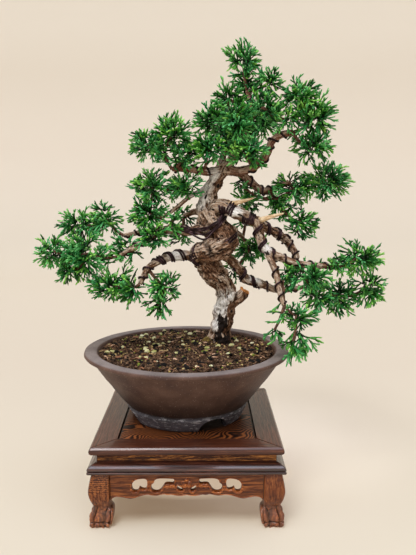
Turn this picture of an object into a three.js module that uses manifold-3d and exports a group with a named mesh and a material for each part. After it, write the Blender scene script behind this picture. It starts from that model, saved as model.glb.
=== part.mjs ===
// A juniper bonsai in training, wired, in a round clay pot that stands on a carved hardwood stand.
// Millimetres, +Z up, the front faces -Y, and the origin is under the middle of the whole on the table.
import * as THREE from "three";
import { mergeVertices } from "three/addons/utils/BufferGeometryUtils.js";
import Module from "manifold-3d";

const wasm = await Module();
wasm.setup();

// ---- Driving dimensions -------------------------------------------------------------------------
const GAP = 0.3; // between pieces that touch
const STAND = { half: 100, height: 87, slab: 8, rail: 26, at: [-26, -7] };
const POT = { rimRadius: 118, mouthRadius: 103, height: 79, footRadius: 62, at: [-28, 0] };
const SOIL = { edgeDrop: 5, mound: 5 };
const WIRE_RADIUS = 1.2;
const SHOOT = { radius: 0.9, length: 13, slant: 0.72 }; // a scaly juniper shoot

// ---- Materials ----------------------------------------------------------------------------------
const material = (color, roughness, metalness = 0) =>
  new THREE.MeshStandardMaterial({ color, roughness, metalness });
const LOOKS = {
  wood: material("#4a2a1c", 0.45),
  figured: material("#7a4524", 0.45),
  carved: material("#6b3a20", 0.5),
  clay: material("#5a4a42", 0.7),
  net: material("#22262a", 0.6),
  soil: material("#3b2a1e", 0.95),
  bark: material("#a08772", 0.85),
  wire: material("#3a2420", 0.35, 0.9),
  leaf: material("#2f7a3c", 0.6),
};

// ---- Solids and meshes --------------------------------------------------------------------------
const point = ([x, y, z]) => new THREE.Vector3(x, y, z);

// A closed geometry as a solid that can be cut and joined.
function solidOf(geometry) {
  const bare = geometry.clone();
  bare.deleteAttribute("normal");
  bare.deleteAttribute("uv");
  const merged = mergeVertices(bare, 1e-4);
  return new wasm.Manifold(new wasm.Mesh({
    numProp: 3,
    vertProperties: merged.attributes.position.array,
    triVerts: new Uint32Array(merged.index.array),
  }));
}

// A solid as a named mesh. Loose scraps left by a cut are dropped.
function meshOf(name, solid, look) {
  const whole = solid.decompose().sort((a, b) => b.volume() - a.volume())[0];
  const data = whole.getMesh();
  const geometry = new THREE.BufferGeometry();
  geometry.setAttribute("position", new THREE.BufferAttribute(Float32Array.from(data.vertProperties), 3));
  geometry.setIndex(new THREE.BufferAttribute(Uint32Array.from(data.triVerts), 1));
  geometry.computeVertexNormals();
  const mesh = new THREE.Mesh(geometry, look);
  mesh.name = name;
  return mesh;
}

function boxSolid(low, high) {
  const size = high.map((v, i) => v - low[i]);
  return solidOf(new THREE.BoxGeometry(...size).translate(...low.map((v, i) => v + size[i] / 2)));
}

// A turned solid. Its profile is a list of [radius, height] that runs anticlockwise.
function turned(profile, segments, firstAngle = 0) {
  const outline = profile.map(([r, z]) => new THREE.Vector2(r, z));
  return solidOf(new THREE.LatheGeometry(outline, segments, firstAngle).rotateX(Math.PI / 2));
}

// A solid skin over rings of points that all have the same count, with flat ends.
function skinned(rings) {
  const n = rings[0].length;
  const index = [];
  for (let k = 0; k < rings.length - 1; k++) {
    for (let i = 0; i < n; i++) {
      const [a, b] = [k * n + i, k * n + ((i + 1) % n)];
      index.push(a, b, b + n, a, b + n, a + n);
    }
  }
  const last = (rings.length - 1) * n;
  for (let i = 1; i < n - 1; i++) index.push(0, i + 1, i, last, last + i, last + i + 1);
  const geometry = new THREE.BufferGeometry().setFromPoints(rings.flat());
  geometry.setIndex(index);
  return solidOf(geometry);
}

const SIDES = ["front", "right", "back", "left"];
const CORNERS = ["front_left", "front_right", "back_right", "back_left"];

// ---- The stand ----------------------------------------------------------------------------------
const stand = new THREE.Group();
stand.position.set(...STAND.at, 0);

const slabTop = STAND.height;
const slabUnder = slabTop - STAND.slab;
const WAIST = { outer: 93, inner: 85, under: 70 };
const MOULDING = { nose: 102.5, under: 59 };
const PANEL = { half: STAND.half - STAND.rail, thick: 4.5, ledge: 4, drop: 0.4, sideGap: 1.6 };
const panelTop = slabTop - PANEL.drop;
const panelUnder = panelTop - PANEL.thick;

// A square frame as a four-sided turning, whose profile gives half-widths.
const squareTurned = (profile) => turned(profile.map(([half, z]) => [half * Math.SQRT2, z]), 4, Math.PI / 4);

// The quarter of a square frame on one side, cut at the mitres.
function quarterOf(frame, side) {
  const reach = 150;
  const tip = (-GAP / 2) * Math.SQRT2;
  const corners = [[0, tip], [-reach, tip - reach], [reach, tip - reach]];
  const wedge = new THREE.Shape(corners.map(([x, y]) => new THREE.Vector2(x, y)));
  const cutter = solidOf(new THREE.ExtrudeGeometry(wedge, { depth: STAND.height * 2, bevelEnabled: false }));
  return frame.intersect(cutter.rotate([0, 0, SIDES.indexOf(side) * 90]));
}

// Top frame: four mitred rails with a rounded outer edge, and a ledge that carries the loose panel.
const railFrame = squareTurned([
  [PANEL.half, slabTop],
  [PANEL.half, panelUnder - GAP],
  [PANEL.half - PANEL.ledge, panelUnder - GAP],
  [PANEL.half - PANEL.ledge, slabUnder],
  [STAND.half - 1.5, slabUnder],
  [STAND.half, slabUnder + 1.5],
  [STAND.half + 0.4, slabTop - 4],
  [STAND.half, slabTop - 2],
  [STAND.half - 2, slabTop],
  [PANEL.half, slabTop],
]);
for (const side of SIDES) stand.add(meshOf(`top_rail_${side}`, quarterOf(railFrame, side), LOOKS.wood));

const panelX = PANEL.half - PANEL.sideGap;
const panelY = PANEL.half - GAP;
const panel = boxSolid([-panelX, -panelY, panelUnder], [panelX, panelY, panelTop]);
stand.add(meshOf("top_panel", panel, LOOKS.figured));

// Waist: a recessed band under the top frame.
const waistFrame = squareTurned([
  [WAIST.inner, WAIST.under + GAP],
  [WAIST.outer, WAIST.under + GAP],
  [WAIST.outer, slabUnder - GAP],
  [WAIST.inner, slabUnder - GAP],
  [WAIST.inner, WAIST.under + GAP],
]);
for (const side of SIDES) stand.add(meshOf(`waist_${side}`, quarterOf(waistFrame, side), LOOKS.figured));

// Moulding: slopes out from the waist to a rounded nose, over a groove and a thin fillet.
const mouldingInner = WAIST.inner - 4;
const mouldingFrame = squareTurned([
  [mouldingInner, WAIST.under - 3],
  [mouldingInner, MOULDING.under],
  [MOULDING.nose - 1, MOULDING.under],
  [MOULDING.nose, MOULDING.under + 0.8],
  [MOULDING.nose, MOULDING.under + 2.6],
  [MOULDING.nose - 2.4, MOULDING.under + 3.2],
  [MOULDING.nose - 0.6, MOULDING.under + 3.8],
  [MOULDING.nose, MOULDING.under + 5],
  [MOULDING.nose - 1, WAIST.under - 4],
  [WAIST.outer + 5, WAIST.under - 1.6],
  [WAIST.outer, WAIST.under],
  [WAIST.inner, WAIST.under],
  [mouldingInner, WAIST.under - 3],
]);
for (const side of SIDES) stand.add(meshOf(`moulding_${side}`, quarterOf(mouldingFrame, side), LOOKS.wood));

// Legs: cabriole legs on clawed feet. Each level is [height, outer face, inner face, depth between toes].
const LEG = { outer: 98.5, inner: 79.5, pointsPerFace: 4, cornerEase: 0.88 };
const legTop = MOULDING.under - GAP;
const legLevels = [
  [0, 100.8, 79.8, 1.2],
  [8, 101.8, 76.8, 1.7],
  [17, 99.6, 76.8, 1.2],
  [22, 97.6, 80, 0],
  [31, 100.8, LEG.inner, 0],
  [39, 102.2, LEG.inner, 0],
  [49, 100.6, LEG.inner, 0],
  [legTop, LEG.outer, LEG.inner, 0],
];

// One section of the back right leg: a square with eased corners, its outer faces grooved between the toes.
function legSection([height, outer, inner, toeDepth]) {
  const middle = (outer + inner) / 2;
  const half = (outer - inner) / 2;
  return Array.from({ length: LEG.pointsPerFace * 4 }, (_, i) => {
    const face = Math.floor(i / LEG.pointsPerFace);
    const place = i % LEG.pointsPerFace;
    const ease = place === 0 ? LEG.cornerEase : 1;
    const groove = face < 2 && place % 2 === 1 ? toeDepth : 0;
    const u = ((place / LEG.pointsPerFace) * 2 - 1) * half * ease;
    const v = half * ease - groove;
    const [x, y] = [[v, u], [-u, v], [-v, -u], [u, -v]][face];
    return new THREE.Vector3(middle + x, middle + y, height);
  });
}

const legSolid = skinned(legLevels.map(legSection));
CORNERS.forEach((corner, i) => {
  stand.add(meshOf(`leg_${corner}`, legSolid.rotate([0, 0, 180 + i * 90]), LOOKS.carved));
});

// Aprons: boards with a scalloped lower edge and pierced cloud scrolls, set between the legs.
const APRON = { face: 97, thick: 6, end: LEG.inner - GAP, top: legTop };

// Half of the lower edge, from a leg to the middle: [x, z].
const apronEdge = [
  [APRON.end, 29], [75.4, 32.4], [60, 32.6], [44, 34.8], [30, 37.4],
  [22, 37], [14.6, 35.6], [6, 36.6], [0, 35],
];
// The pierced openings of one half: an outer kidney, a comma and a small eye: [x, z].
const apronOpenings = [
  [[41.5, 53], [52, 53.4], [57.6, 49.5], [56.4, 42.4], [51.5, 41.6], [48.5, 44.2], [42.4, 43]],
  [[14, 52.8], [31, 53.4], [37.4, 46], [34.5, 41], [28, 41.4], [24.5, 46.4], [14.4, 50]],
  [[4.2, 42], [7.5, 41.4], [9.6, 45], [6.6, 46.6]],
];

function apronSolid() {
  const mirrored = (points) => points.map(([x, z]) => [-x, z]);
  const outline = (points) => points.map(([x, z]) => new THREE.Vector2(x, z));
  const edge = [...mirrored(apronEdge), ...apronEdge.slice(0, -1).reverse()];
  const board = new THREE.Shape(outline([[APRON.end, APRON.top], [-APRON.end, APRON.top], ...edge]));
  for (const opening of apronOpenings) {
    board.holes.push(new THREE.Path(outline(opening)), new THREE.Path(outline(mirrored(opening))));
  }
  const slab = new THREE.ExtrudeGeometry(board, { depth: APRON.thick, bevelEnabled: false });
  return solidOf(slab.rotateX(Math.PI / 2).translate(0, APRON.thick - APRON.face, 0));
}
const apron = apronSolid();
SIDES.forEach((side, i) => stand.add(meshOf(`apron_${side}`, apron.rotate([0, 0, i * 90]), LOOKS.carved)));

// ---- The pot ------------------------------------------------------------------------------------
const potBase = panelTop + GAP;
const rim = potBase + POT.height;
const potFloor = { under: potBase + 14, top: potBase + 20, radius: 66 };
const POT_SEGMENTS = 24;
const DRAIN_RADIUS = 9;
const ARCH = { count: 3, halfWidth: 13, height: 11.5, firstAngle: -62 }; // cut-outs in the foot ring

const potSolid = turned([
  [DRAIN_RADIUS, potFloor.under],
  [POT.footRadius - 8, potFloor.under],
  [POT.footRadius - 8, potBase],
  [POT.footRadius - 1, potBase],
  [POT.footRadius, potBase + 1.5],
  [POT.footRadius + 2, potBase + 9],
  [POT.footRadius + 8, potBase + 13.5],
  [81.5, potBase + 27.5],
  [93.5, potBase + 41],
  [104, potBase + 57],
  [111, potBase + 71.5],
  [POT.rimRadius - 1.5, rim - 6.4],
  [POT.rimRadius, rim - 4.4],
  [POT.rimRadius, rim - 2],
  [POT.rimRadius - 1.5, rim - 0.5],
  [POT.rimRadius - 4, rim],
  [POT.mouthRadius + 1.5, rim],
  [POT.mouthRadius, rim - 1.2],
  [POT.mouthRadius - 3, rim - 9],
  [potFloor.radius, potFloor.top],
  [DRAIN_RADIUS, potFloor.top],
  [DRAIN_RADIUS, potFloor.under],
], POT_SEGMENTS);

function archCutter(angle) {
  const { halfWidth, height } = ARCH;
  const half = [[halfWidth, -1], [halfWidth - 3, height * 0.62], [halfWidth - 8, height]];
  const outline = [...half, ...half.map(([x, z]) => [-x, z]).reverse()];
  const tunnel = new THREE.ExtrudeGeometry(
    new THREE.Shape(outline.map(([x, z]) => new THREE.Vector2(x, z))),
    { depth: 40, bevelEnabled: false },
  );
  return solidOf(tunnel.rotateX(Math.PI / 2).translate(0, -38, potBase)).rotate([0, 0, angle + 90]);
}
const arches = Array.from({ length: ARCH.count }, (_, i) =>
  archCutter(ARCH.firstAngle + (i * 360) / ARCH.count));
const pot = potSolid.subtract(wasm.Manifold.union(arches)).translate([...POT.at, 0]);

// Plastic net over the drain hole, held down by the soil.
const NET = { half: 16, thick: 1, cells: 2, bar: 2.2 };
function netSolid() {
  const z = potFloor.top + GAP;
  const pitch = (NET.half * 2 - NET.bar) / NET.cells;
  const starts = Array.from({ length: NET.cells }, (_, i) => NET.bar - NET.half + i * pitch);
  const cell = pitch - NET.bar;
  const cellAt = (x, y) => boxSolid([x, y, z - 1], [x + cell, y + cell, z + 3]);
  const cells = starts.flatMap((x) => starts.map((y) => cellAt(x, y)));
  const sheet = boxSolid([-NET.half, -NET.half, z], [NET.half, NET.half, z + NET.thick]);
  return sheet.subtract(wasm.Manifold.union(cells)).translate([...POT.at, 0]);
}

// ---- The trunk and branches ---------------------------------------------------------------------
// Each limb is a run of [x, y, z, radius] along its middle. The trunk turns back on itself in a roll
// and a burl, so it is joined from runs that have no tight bend.
const limbs = {
  foot: [[6, 24, 140, 10], [8, 24, 156, 14], [11, 22, 170, 13.6], [13, 21, 184, 12], [17, 19, 205, 11.4],
    [19, 17, 222, 11], [13, 13, 240, 12], [1, 9, 254, 13.2], [-9, 5, 268, 12.5]],
  roll: [[-17, 6, 272, 9], [-9, -1, 276, 12.3], [4, -4, 280, 12.8], [16, 0, 284, 12.4], [22, 7, 291, 9]],
  burl: [[23, 7, 280, 9], [16, 8, 292, 14.6], [8, 11, 302, 16], [-1, 15, 313, 15], [-4, 19, 326, 11.4],
    [-2, 21, 341, 9.6], [3, 21, 353, 9], [9, 19, 364, 8.2], [15, 18, 374, 6.6]],
  leader: [[13, 18, 368, 6.6], [25, 16, 383, 5.2], [36, 11, 404, 4], [44, 9, 426, 3.3], [45, 9, 443, 2.8],
    [40, 11, 458, 2.2]],
  crown_right: [[17, 17, 371, 5.6], [34, 13, 369, 4.7], [52, 7, 375, 4.1], [64, 3, 389, 3.8],
    [68, 1, 401, 3.8], [77, -1, 408, 3.8], [90, -1, 411, 3.1]],
  middle_right: [[17, 19, 370, 5.6], [34, 27, 367, 4.8], [47, 31, 357, 4.5], [62, 33, 346, 4.3],
    [76, 33, 350, 3.4], [92, 31, 357, 2.6]],
  crown_left: [[13, 17, 370, 5.6], [-4, 13, 368, 4.5], [-25, 5, 371, 3.6], [-44, 0, 371, 2.7]],
  thin_left: [[-4, 19, 350, 2.9], [-24, 15, 340, 2.3], [-40, 11, 327, 2.1], [-56, 7, 316, 1.8]],
  upper_left: [[-10, 11, 303, 6.2], [-26, 3, 301, 5.2], [-44, 1, 303, 4.8], [-58, -1, 301, 4.2],
    [-72, -5, 293, 3.6], [-84, -7, 285, 3.2], [-102, -12, 274, 2.7]],
  far_left: [[-54, 1, 303, 3.4], [-70, 13, 301, 2.9], [-85, 19, 298, 2.7], [-102, 25, 294, 2.4]],
  lower_left: [[-13, 7, 271, 6.2], [-32, 1, 273, 5.4], [-47, -5, 272, 4.8], [-57, -11, 269, 4],
    [-69, -15, 262, 3.6], [-76, -17, 251, 3.2], [-80, -19, 243, 2.6]],
  main_right: [[0, 18, 322, 9], [13, 7, 329, 7.8], [26, 1, 323, 7.4], [40, -3, 317, 7.2], [51, -5, 311, 6.6],
    [55, -7, 298, 5], [59, -9, 285, 4.6], [69, -11, 276, 4.6], [82, -13, 271, 4.3], [95, -15, 266, 3.9],
    [111, -17, 264, 3.5], [127, -17, 263, 3], [142, -15, 261, 2.5]],
  arched_right: [[49, -3, 312, 4.8], [62, 9, 305, 5], [76, 15, 298, 4.9], [87, 17, 290, 4.7],
    [96, 15, 279, 4.2], [100, 9, 268, 3.2]],
  hanging_right: [[60, -9, 284, 4.1], [68, -15, 268, 3.6], [73, -20, 255, 3.6], [75, -27, 242, 3.2],
    [77, -34, 231, 2.7], [80, -40, 222, 2.2]],
  lower_right: [[14, 9, 274, 6.2], [27, 19, 262, 5.5], [36, 25, 251, 5.5], [44, 27, 241, 5.3],
    [58, 27, 237, 4.7], [68, 27, 233, 4.2], [79, 27, 229, 3.6], [95, 25, 230, 3], [109, 23, 233, 2.4]],
  back_branch: [[2, 18, 300, 6], [12, 36, 304, 4.6], [26, 50, 300, 3.4], [40, 58, 290, 2.4]],
  back_crown: [[10, 18, 366, 5.4], [12, 34, 378, 4.2], [18, 48, 396, 3]],
  back_left: [[-4, 18, 318, 5], [-18, 32, 322, 3.6], [-32, 42, 316, 2.6]],
  sawn_stub: [[19, 17, 213, 6.5], [33, 19, 221, 5.9], [43, 19, 229, 5]],
  peeled_stub_upper: [[18, 2, 331, 3], [35, -1, 335, 2.4], [49, -3, 339, 0.8]],
  peeled_stub_lower: [[46, -5, 311, 3.8], [64, -9, 317, 2.8], [81, -13, 322, 1.2]],
  root_left: [[8, 22, 168, 8], [-6, 14, 161, 5], [-18, 8, 156, 3]],
  root_right: [[14, 22, 168, 8], [28, 16, 161, 5], [38, 10, 156, 3]],
  root_back: [[12, 26, 168, 8], [14, 40, 161, 5], [12, 52, 156, 3]],
};

// Steps along a smooth line through stations. Each has its middle, its radius and two cross axes.
function pathAlong(stations, perSpan = 1) {
  const line = new THREE.CatmullRomCurve3(stations.map(point), false, "centripetal");
  const spans = stations.length - 1;
  let across = new THREE.Vector3(0.3, 1, 0.2);
  return Array.from({ length: spans * perSpan + 1 }, (_, k) => {
    const place = k / perSpan;
    const from = Math.min(Math.floor(place), spans - 1);
    const along = line.getTangent(place / spans);
    across = across.clone().addScaledVector(along, -across.dot(along)).normalize();
    return {
      centre: line.getPoint(place / spans),
      radius: THREE.MathUtils.lerp(stations[from][3], stations[from + 1][3], place - from),
      along,
      across,
      upright: along.clone().cross(across),
    };
  });
}

const around = ({ centre, across, upright }, angle, reach) => centre.clone()
  .addScaledVector(across, Math.cos(angle) * reach)
  .addScaledVector(upright, Math.sin(angle) * reach);

// A round bar that follows its stations. Thick limbs get ridges, and grow widens and lengthens it.
function barSolid(stations, sides, perSpan, grow = 0) {
  const path = pathAlong(stations, perSpan);
  const rings = path.map((step, k) => Array.from({ length: sides }, (_, i) => {
    const angle = (i / sides) * 2 * Math.PI;
    const ridged = step.radius > 7 && grow === 0;
    const ridge = ridged ? 1 - 0.07 * (1 + Math.sin(3 * angle + k * 0.5)) : 1;
    return around(step, angle, step.radius * ridge + grow);
  }));
  rings[0].forEach((p) => p.addScaledVector(path[0].along, -grow));
  rings.at(-1).forEach((p) => p.addScaledVector(path.at(-1).along, grow));
  return skinned(rings);
}

const thickest = (stations) => Math.max(...stations.map((s) => s[3]));
const limbSteps = (stations) => (thickest(stations) > 8 ? 2 : 1);
const limbSides = (stations) => [4, 5, 8][[5, 8].filter((radius) => thickest(stations) > radius).length];
const woodSolid = (grow) => wasm.Manifold.union(
  Object.values(limbs).map((stations) => barSolid(stations, limbSides(stations), limbSteps(stations), grow)),
);
const wood = woodSolid(0);
const woodAndRoom = woodSolid(GAP);

// ---- The soil -----------------------------------------------------------------------------------
const insideAt = (z) =>
  THREE.MathUtils.mapLinear(z, potFloor.top, rim - 9, potFloor.radius, POT.mouthRadius - 3) - GAP;
const soilUnder = potFloor.top + NET.thick + 2 * GAP;
const soilEdge = rim - SOIL.edgeDrop;
const soilBody = turned([
  [0, soilUnder],
  [insideAt(soilUnder), soilUnder],
  [insideAt(rim - 9), rim - 9],
  [POT.mouthRadius - 1.8, soilEdge],
  [60, soilEdge + SOIL.mound * 0.7],
  [0, soilEdge + SOIL.mound],
], POT_SEGMENTS).translate([...POT.at, 0]);
const soil = soilBody.subtract(woodAndRoom);

// ---- What is taken up so far --------------------------------------------------------------------
// Every bar placed so far, as { a, b, radius, owner }, so that the next piece can keep clear of it.
const taken = [];

function take(owner, stations, perSpan = 1) {
  const path = pathAlong(stations, perSpan);
  path.slice(1).forEach((step, i) => {
    taken.push({ a: path[i].centre, b: step.centre, radius: Math.max(path[i].radius, step.radius), owner });
  });
}
for (const stations of Object.values(limbs)) take("wood", stations, limbSteps(stations));

// The least distance between two straight runs.
function distanceBetween(a, b, c, d) {
  const { clamp } = THREE.MathUtils;
  const u = b.clone().sub(a);
  const v = d.clone().sub(c);
  const w = a.clone().sub(c);
  const [uu, uv, vv, uw, vw] = [u.dot(u), u.dot(v), v.dot(v), u.dot(w), v.dot(w)];
  const slant = uu * vv - uv * uv;
  const first = slant > 1e-9 ? clamp((uv * vw - vv * uw) / slant, 0, 1) : 0;
  const t = clamp((uv * first + vw) / vv, 0, 1);
  const s = clamp((uv * t - uw) / uu, 0, 1);
  return w.addScaledVector(u, s).addScaledVector(v, -t).length();
}

const inPot = ({ x, y, z }) => z < rim + 2 && Math.hypot(x - POT.at[0], y - POT.at[1]) < POT.rimRadius + 2;

function isClear(ignored, a, b, radius) {
  if (inPot(a) || inPot(b)) return false;
  return taken.every((bar) => ignored.some((owner) => bar.owner.startsWith(owner))
    || distanceBetween(a, b, bar.a, bar.b) > radius + bar.radius + GAP);
}

// ---- The training wire --------------------------------------------------------------------------
// Each wire is wound round a limb, from one share of its length to another.
const wires = {
  wire_upper_left: { limb: "upper_left", from: 0.1, to: 0.95, turns: 5.5 },
  wire_far_left: { limb: "far_left", from: 0.3, to: 0.95, turns: 2.5 },
  wire_lower_left: { limb: "lower_left", from: 0.18, to: 0.95, turns: 4.5 },
  wire_leader: { limb: "leader", from: 0.2, to: 0.9, turns: 4 },
  wire_crown_left: { limb: "crown_left", from: 0.3, to: 0.95, turns: 3 },
  wire_crown_right: { limb: "crown_right", from: 0.25, to: 0.95, turns: 4.5 },
  wire_middle_right: { limb: "middle_right", from: 0.28, to: 0.95, turns: 4 },
  wire_main_right: { limb: "main_right", from: 0.16, to: 0.33, turns: 3 },
  wire_far_right: { limb: "main_right", from: 0.45, to: 0.97, turns: 5.5 },
  wire_arched_right: { limb: "arched_right", from: 0.3, to: 0.92, turns: 3.5 },
  wire_hanging_right: { limb: "hanging_right", from: 0.35, to: 0.95, turns: 3 },
  wire_lower_right: { limb: "lower_right", from: 0.2, to: 0.95, turns: 5.5 },
};
const WIRE_STEPS_PER_TURN = 6;
const WIRE_SIDES = 3;

// The stations of a winding. Each run that would bite into something is let out from its limb's middle.
function wireStations({ limb, from, to, turns }) {
  const path = pathAlong(limbs[limb], WIRE_STEPS_PER_TURN);
  const steps = Math.round(turns * WIRE_STEPS_PER_TURN);
  const turn = Array.from({ length: steps + 1 }, (_, k) => {
    const step = path[Math.round(THREE.MathUtils.lerp(from, to, k / steps) * (path.length - 1))];
    const angle = (k / WIRE_STEPS_PER_TURN) * 2 * Math.PI;
    return { centre: step.centre, spot: around(step, angle, step.radius + WIRE_RADIUS + GAP) };
  });
  const letOut = ({ centre, spot }, by) => spot.add(spot.clone().sub(centre).setLength(by));
  for (let pass = 0; pass < 12; pass++) {
    for (let k = 0; k < steps; k++) {
      const bites = taken.map((bar) => WIRE_RADIUS + bar.radius + GAP
        - distanceBetween(turn[k].spot, turn[k + 1].spot, bar.a, bar.b));
      const bite = Math.max(...bites);
      if (bite > 0.02) {
        letOut(turn[k], bite / 2);
        letOut(turn[k + 1], bite / 2);
      }
    }
  }
  return turn.map(({ spot }) => [...spot.toArray(), WIRE_RADIUS]);
}

const wireMeshes = Object.entries(wires).map(([name, winding]) => {
  const stations = wireStations(winding);
  take(name, stations);
  return meshOf(name, barSolid(stations, WIRE_SIDES, 1), LOOKS.wire);
});

// ---- The foliage --------------------------------------------------------------------------------
// Each pad grows on a twig from a limb, at a share of its length. Its tufts are [x, y, z, half-width,
// half-height].
const pads = {
  foliage_apex: {
    on: ["leader", 1],
    tufts: [[38, 11, 490, 22, 26], [64, 7, 467, 19, 17], [44, 24, 466, 16, 14]],
  },
  foliage_crown_left: { on: ["leader", 0.72], tufts: [[22, 15, 449, 19, 18], [1, 7, 426, 22, 22]] },
  foliage_crown_front: { on: ["leader", 0.45], tufts: [[30, -9, 418, 23, 24], [57, -3, 438, 20, 18]] },
  foliage_crown_low: { on: ["crown_right", 0.3], tufts: [[37, -15, 389, 24, 16]] },
  foliage_crown_inner: { on: ["crown_left", 0.4], tufts: [[-3, -7, 394, 20, 18]] },
  foliage_upper_left: {
    on: ["crown_left", 1],
    tufts: [[-43, -9, 412, 24, 22], [-73, -5, 400, 22, 20], [-22, 6, 397, 16, 14]],
  },
  foliage_top_right: {
    on: ["crown_right", 1],
    tufts: [[119, 1, 427, 26, 26], [98, -3, 452, 23, 21], [113, -1, 397, 24, 17]],
  },
  foliage_right_mid: {
    on: ["middle_right", 1],
    tufts: [[97, 27, 352, 24, 18], [135, 27, 359, 26, 22], [74, 29, 336, 13, 11]],
  },
  foliage_right_low: { on: ["middle_right", 0.72], tufts: [[84, 34, 325, 15, 12], [106, 28, 310, 22, 19]] },
  foliage_left_thin: {
    on: ["thin_left", 1],
    tufts: [[-70, 7, 322, 26, 20], [-69, 7, 350, 22, 22], [-32, 13, 352, 15, 14]],
  },
  foliage_left_front: {
    on: ["upper_left", 0.5],
    tufts: [[-62, -17, 294, 24, 15], [-32, -12, 308, 13, 11]],
  },
  foliage_far_left_top: { on: ["far_left", 1], tufts: [[-125, 27, 314, 20, 20], [-153, 27, 308, 25, 20]] },
  foliage_far_left: {
    on: ["upper_left", 1],
    tufts: [
      [-137, -17, 276, 28, 24], [-101, -1, 284, 17, 14], [-177, -19, 278, 19, 17], [-158, -17, 257, 18, 13],
    ],
  },
  foliage_low_left: { on: ["lower_left", 1], tufts: [[-90, -21, 236, 19, 23], [-115, -21, 239, 22, 18]] },
  foliage_hanging_left: {
    on: ["lower_left", 0.7],
    tufts: [[-55, -19, 241, 19, 19], [-63, -21, 216, 16, 16]],
  },
  foliage_right_front: {
    on: ["main_right", 0.78],
    tufts: [[106, -19, 256, 26, 18], [120, -19, 226, 18, 19]],
  },
  foliage_far_right_top: {
    on: ["main_right", 1],
    tufts: [[168, -11, 274, 26, 19], [142, -15, 272, 14, 12]],
  },
  foliage_far_right_low: { on: ["lower_right", 1], tufts: [[146, 4, 228, 20, 19], [185, -1, 234, 22, 22]] },
  foliage_hanging_right: {
    on: ["hanging_right", 1],
    tufts: [[93, -46, 212, 24, 17], [82, -66, 180, 17, 19], [105, -64, 180, 16, 17]],
  },
  foliage_back_right: { on: ["back_branch", 1], tufts: [[50, 58, 277, 20, 19], [40, 54, 347, 18, 16]] },
  foliage_back_left: { on: ["back_left", 1], tufts: [[-31, 44, 318, 17, 14], [-34, 44, 292, 18, 12]] },
  foliage_back_crown: { on: ["back_crown", 1], tufts: [[20, 50, 415, 26, 24], [58, 48, 430, 26, 24]] },
};
const TWIG = { root: 1.9, end: 1.5 };
const ARM = { root: 1.5, last: 0.9, whorls: 3, per: 7.4 }; // one arm for each so many mm of half-width
const GOLDEN_ANGLE = Math.PI * (3 - Math.sqrt(5));

// A repeatable random draw from 0 to 1.
function draws(seed) {
  let state = seed;
  return () => {
    state = (state * 1664525 + 1013904223) % 4294967296;
    return state / 4294967296;
  };
}

// The twigs of a pad. Its first twig leaves the limb as near to the share as the wire allows, and each
// tuft grows from the nearest point that the pad already has.
function twigsOf(name, { on: [limb, share], tufts }) {
  const path = pathAlong(limbs[limb], 20);
  const places = path.map((step, k) => ({ spot: step.centre, off: Math.abs(k / (path.length - 1) - share) }))
    .sort((a, b) => a.off - b.off);
  const first = point(tufts[0]);
  const free = places.find(({ spot }) => isClear(["wood", "foliage"], spot, first, TWIG.root)) ?? places[0];
  const joints = [free.spot];
  return tufts.map((tuft) => {
    const centre = point(tuft);
    const from = joints.reduce((near, p) => (p.distanceTo(centre) < near.distanceTo(centre) ? p : near));
    joints.push(centre);
    const stations = [[...from.toArray(), TWIG.root], [...centre.toArray(), TWIG.end]];
    take(name, stations);
    return barSolid(stations, 3, 1);
  });
}

// A three-sided arm that tapers to a point. Shoots are faces of it pulled out to a point: shootAt(span,
// face, middle, outward, along) gives the tip of one, or nothing where the face stays plain.
function armSolid(path, tip, shootAt) {
  const faceAngle = (face) => (face / 3) * 2 * Math.PI;
  const vertices = path.flatMap((step) => [0, 1, 2].map((i) => around(step, faceAngle(i), step.radius)));
  const tipIndex = vertices.push(tip) - 1;
  const index = [0, 2, 1];
  for (let face = 0; face < 3; face++) {
    const next = (face + 1) % 3;
    path.slice(1).forEach((step, span) => {
      const [a, b] = [span * 3 + face, span * 3 + next];
      const [beside, over] = [a + 3, b + 3];
      const middle = vertices[a].clone().add(vertices[b]).add(vertices[over]).divideScalar(3);
      const outward = around({ ...step, centre: new THREE.Vector3() }, faceAngle(face + 0.5), 1);
      const end = shootAt(span, face, middle, outward, step.along);
      index.push(a, over, beside);
      if (end) {
        const endIndex = vertices.push(end) - 1;
        index.push(a, b, endIndex, b, over, endIndex, over, a, endIndex);
      } else {
        index.push(a, b, over);
      }
    });
    const last = (path.length - 1) * 3;
    index.push(last + face, last + next, tipIndex);
  }
  const geometry = new THREE.BufferGeometry().setFromPoints(vertices);
  geometry.setIndex(index);
  return solidOf(geometry);
}

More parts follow.
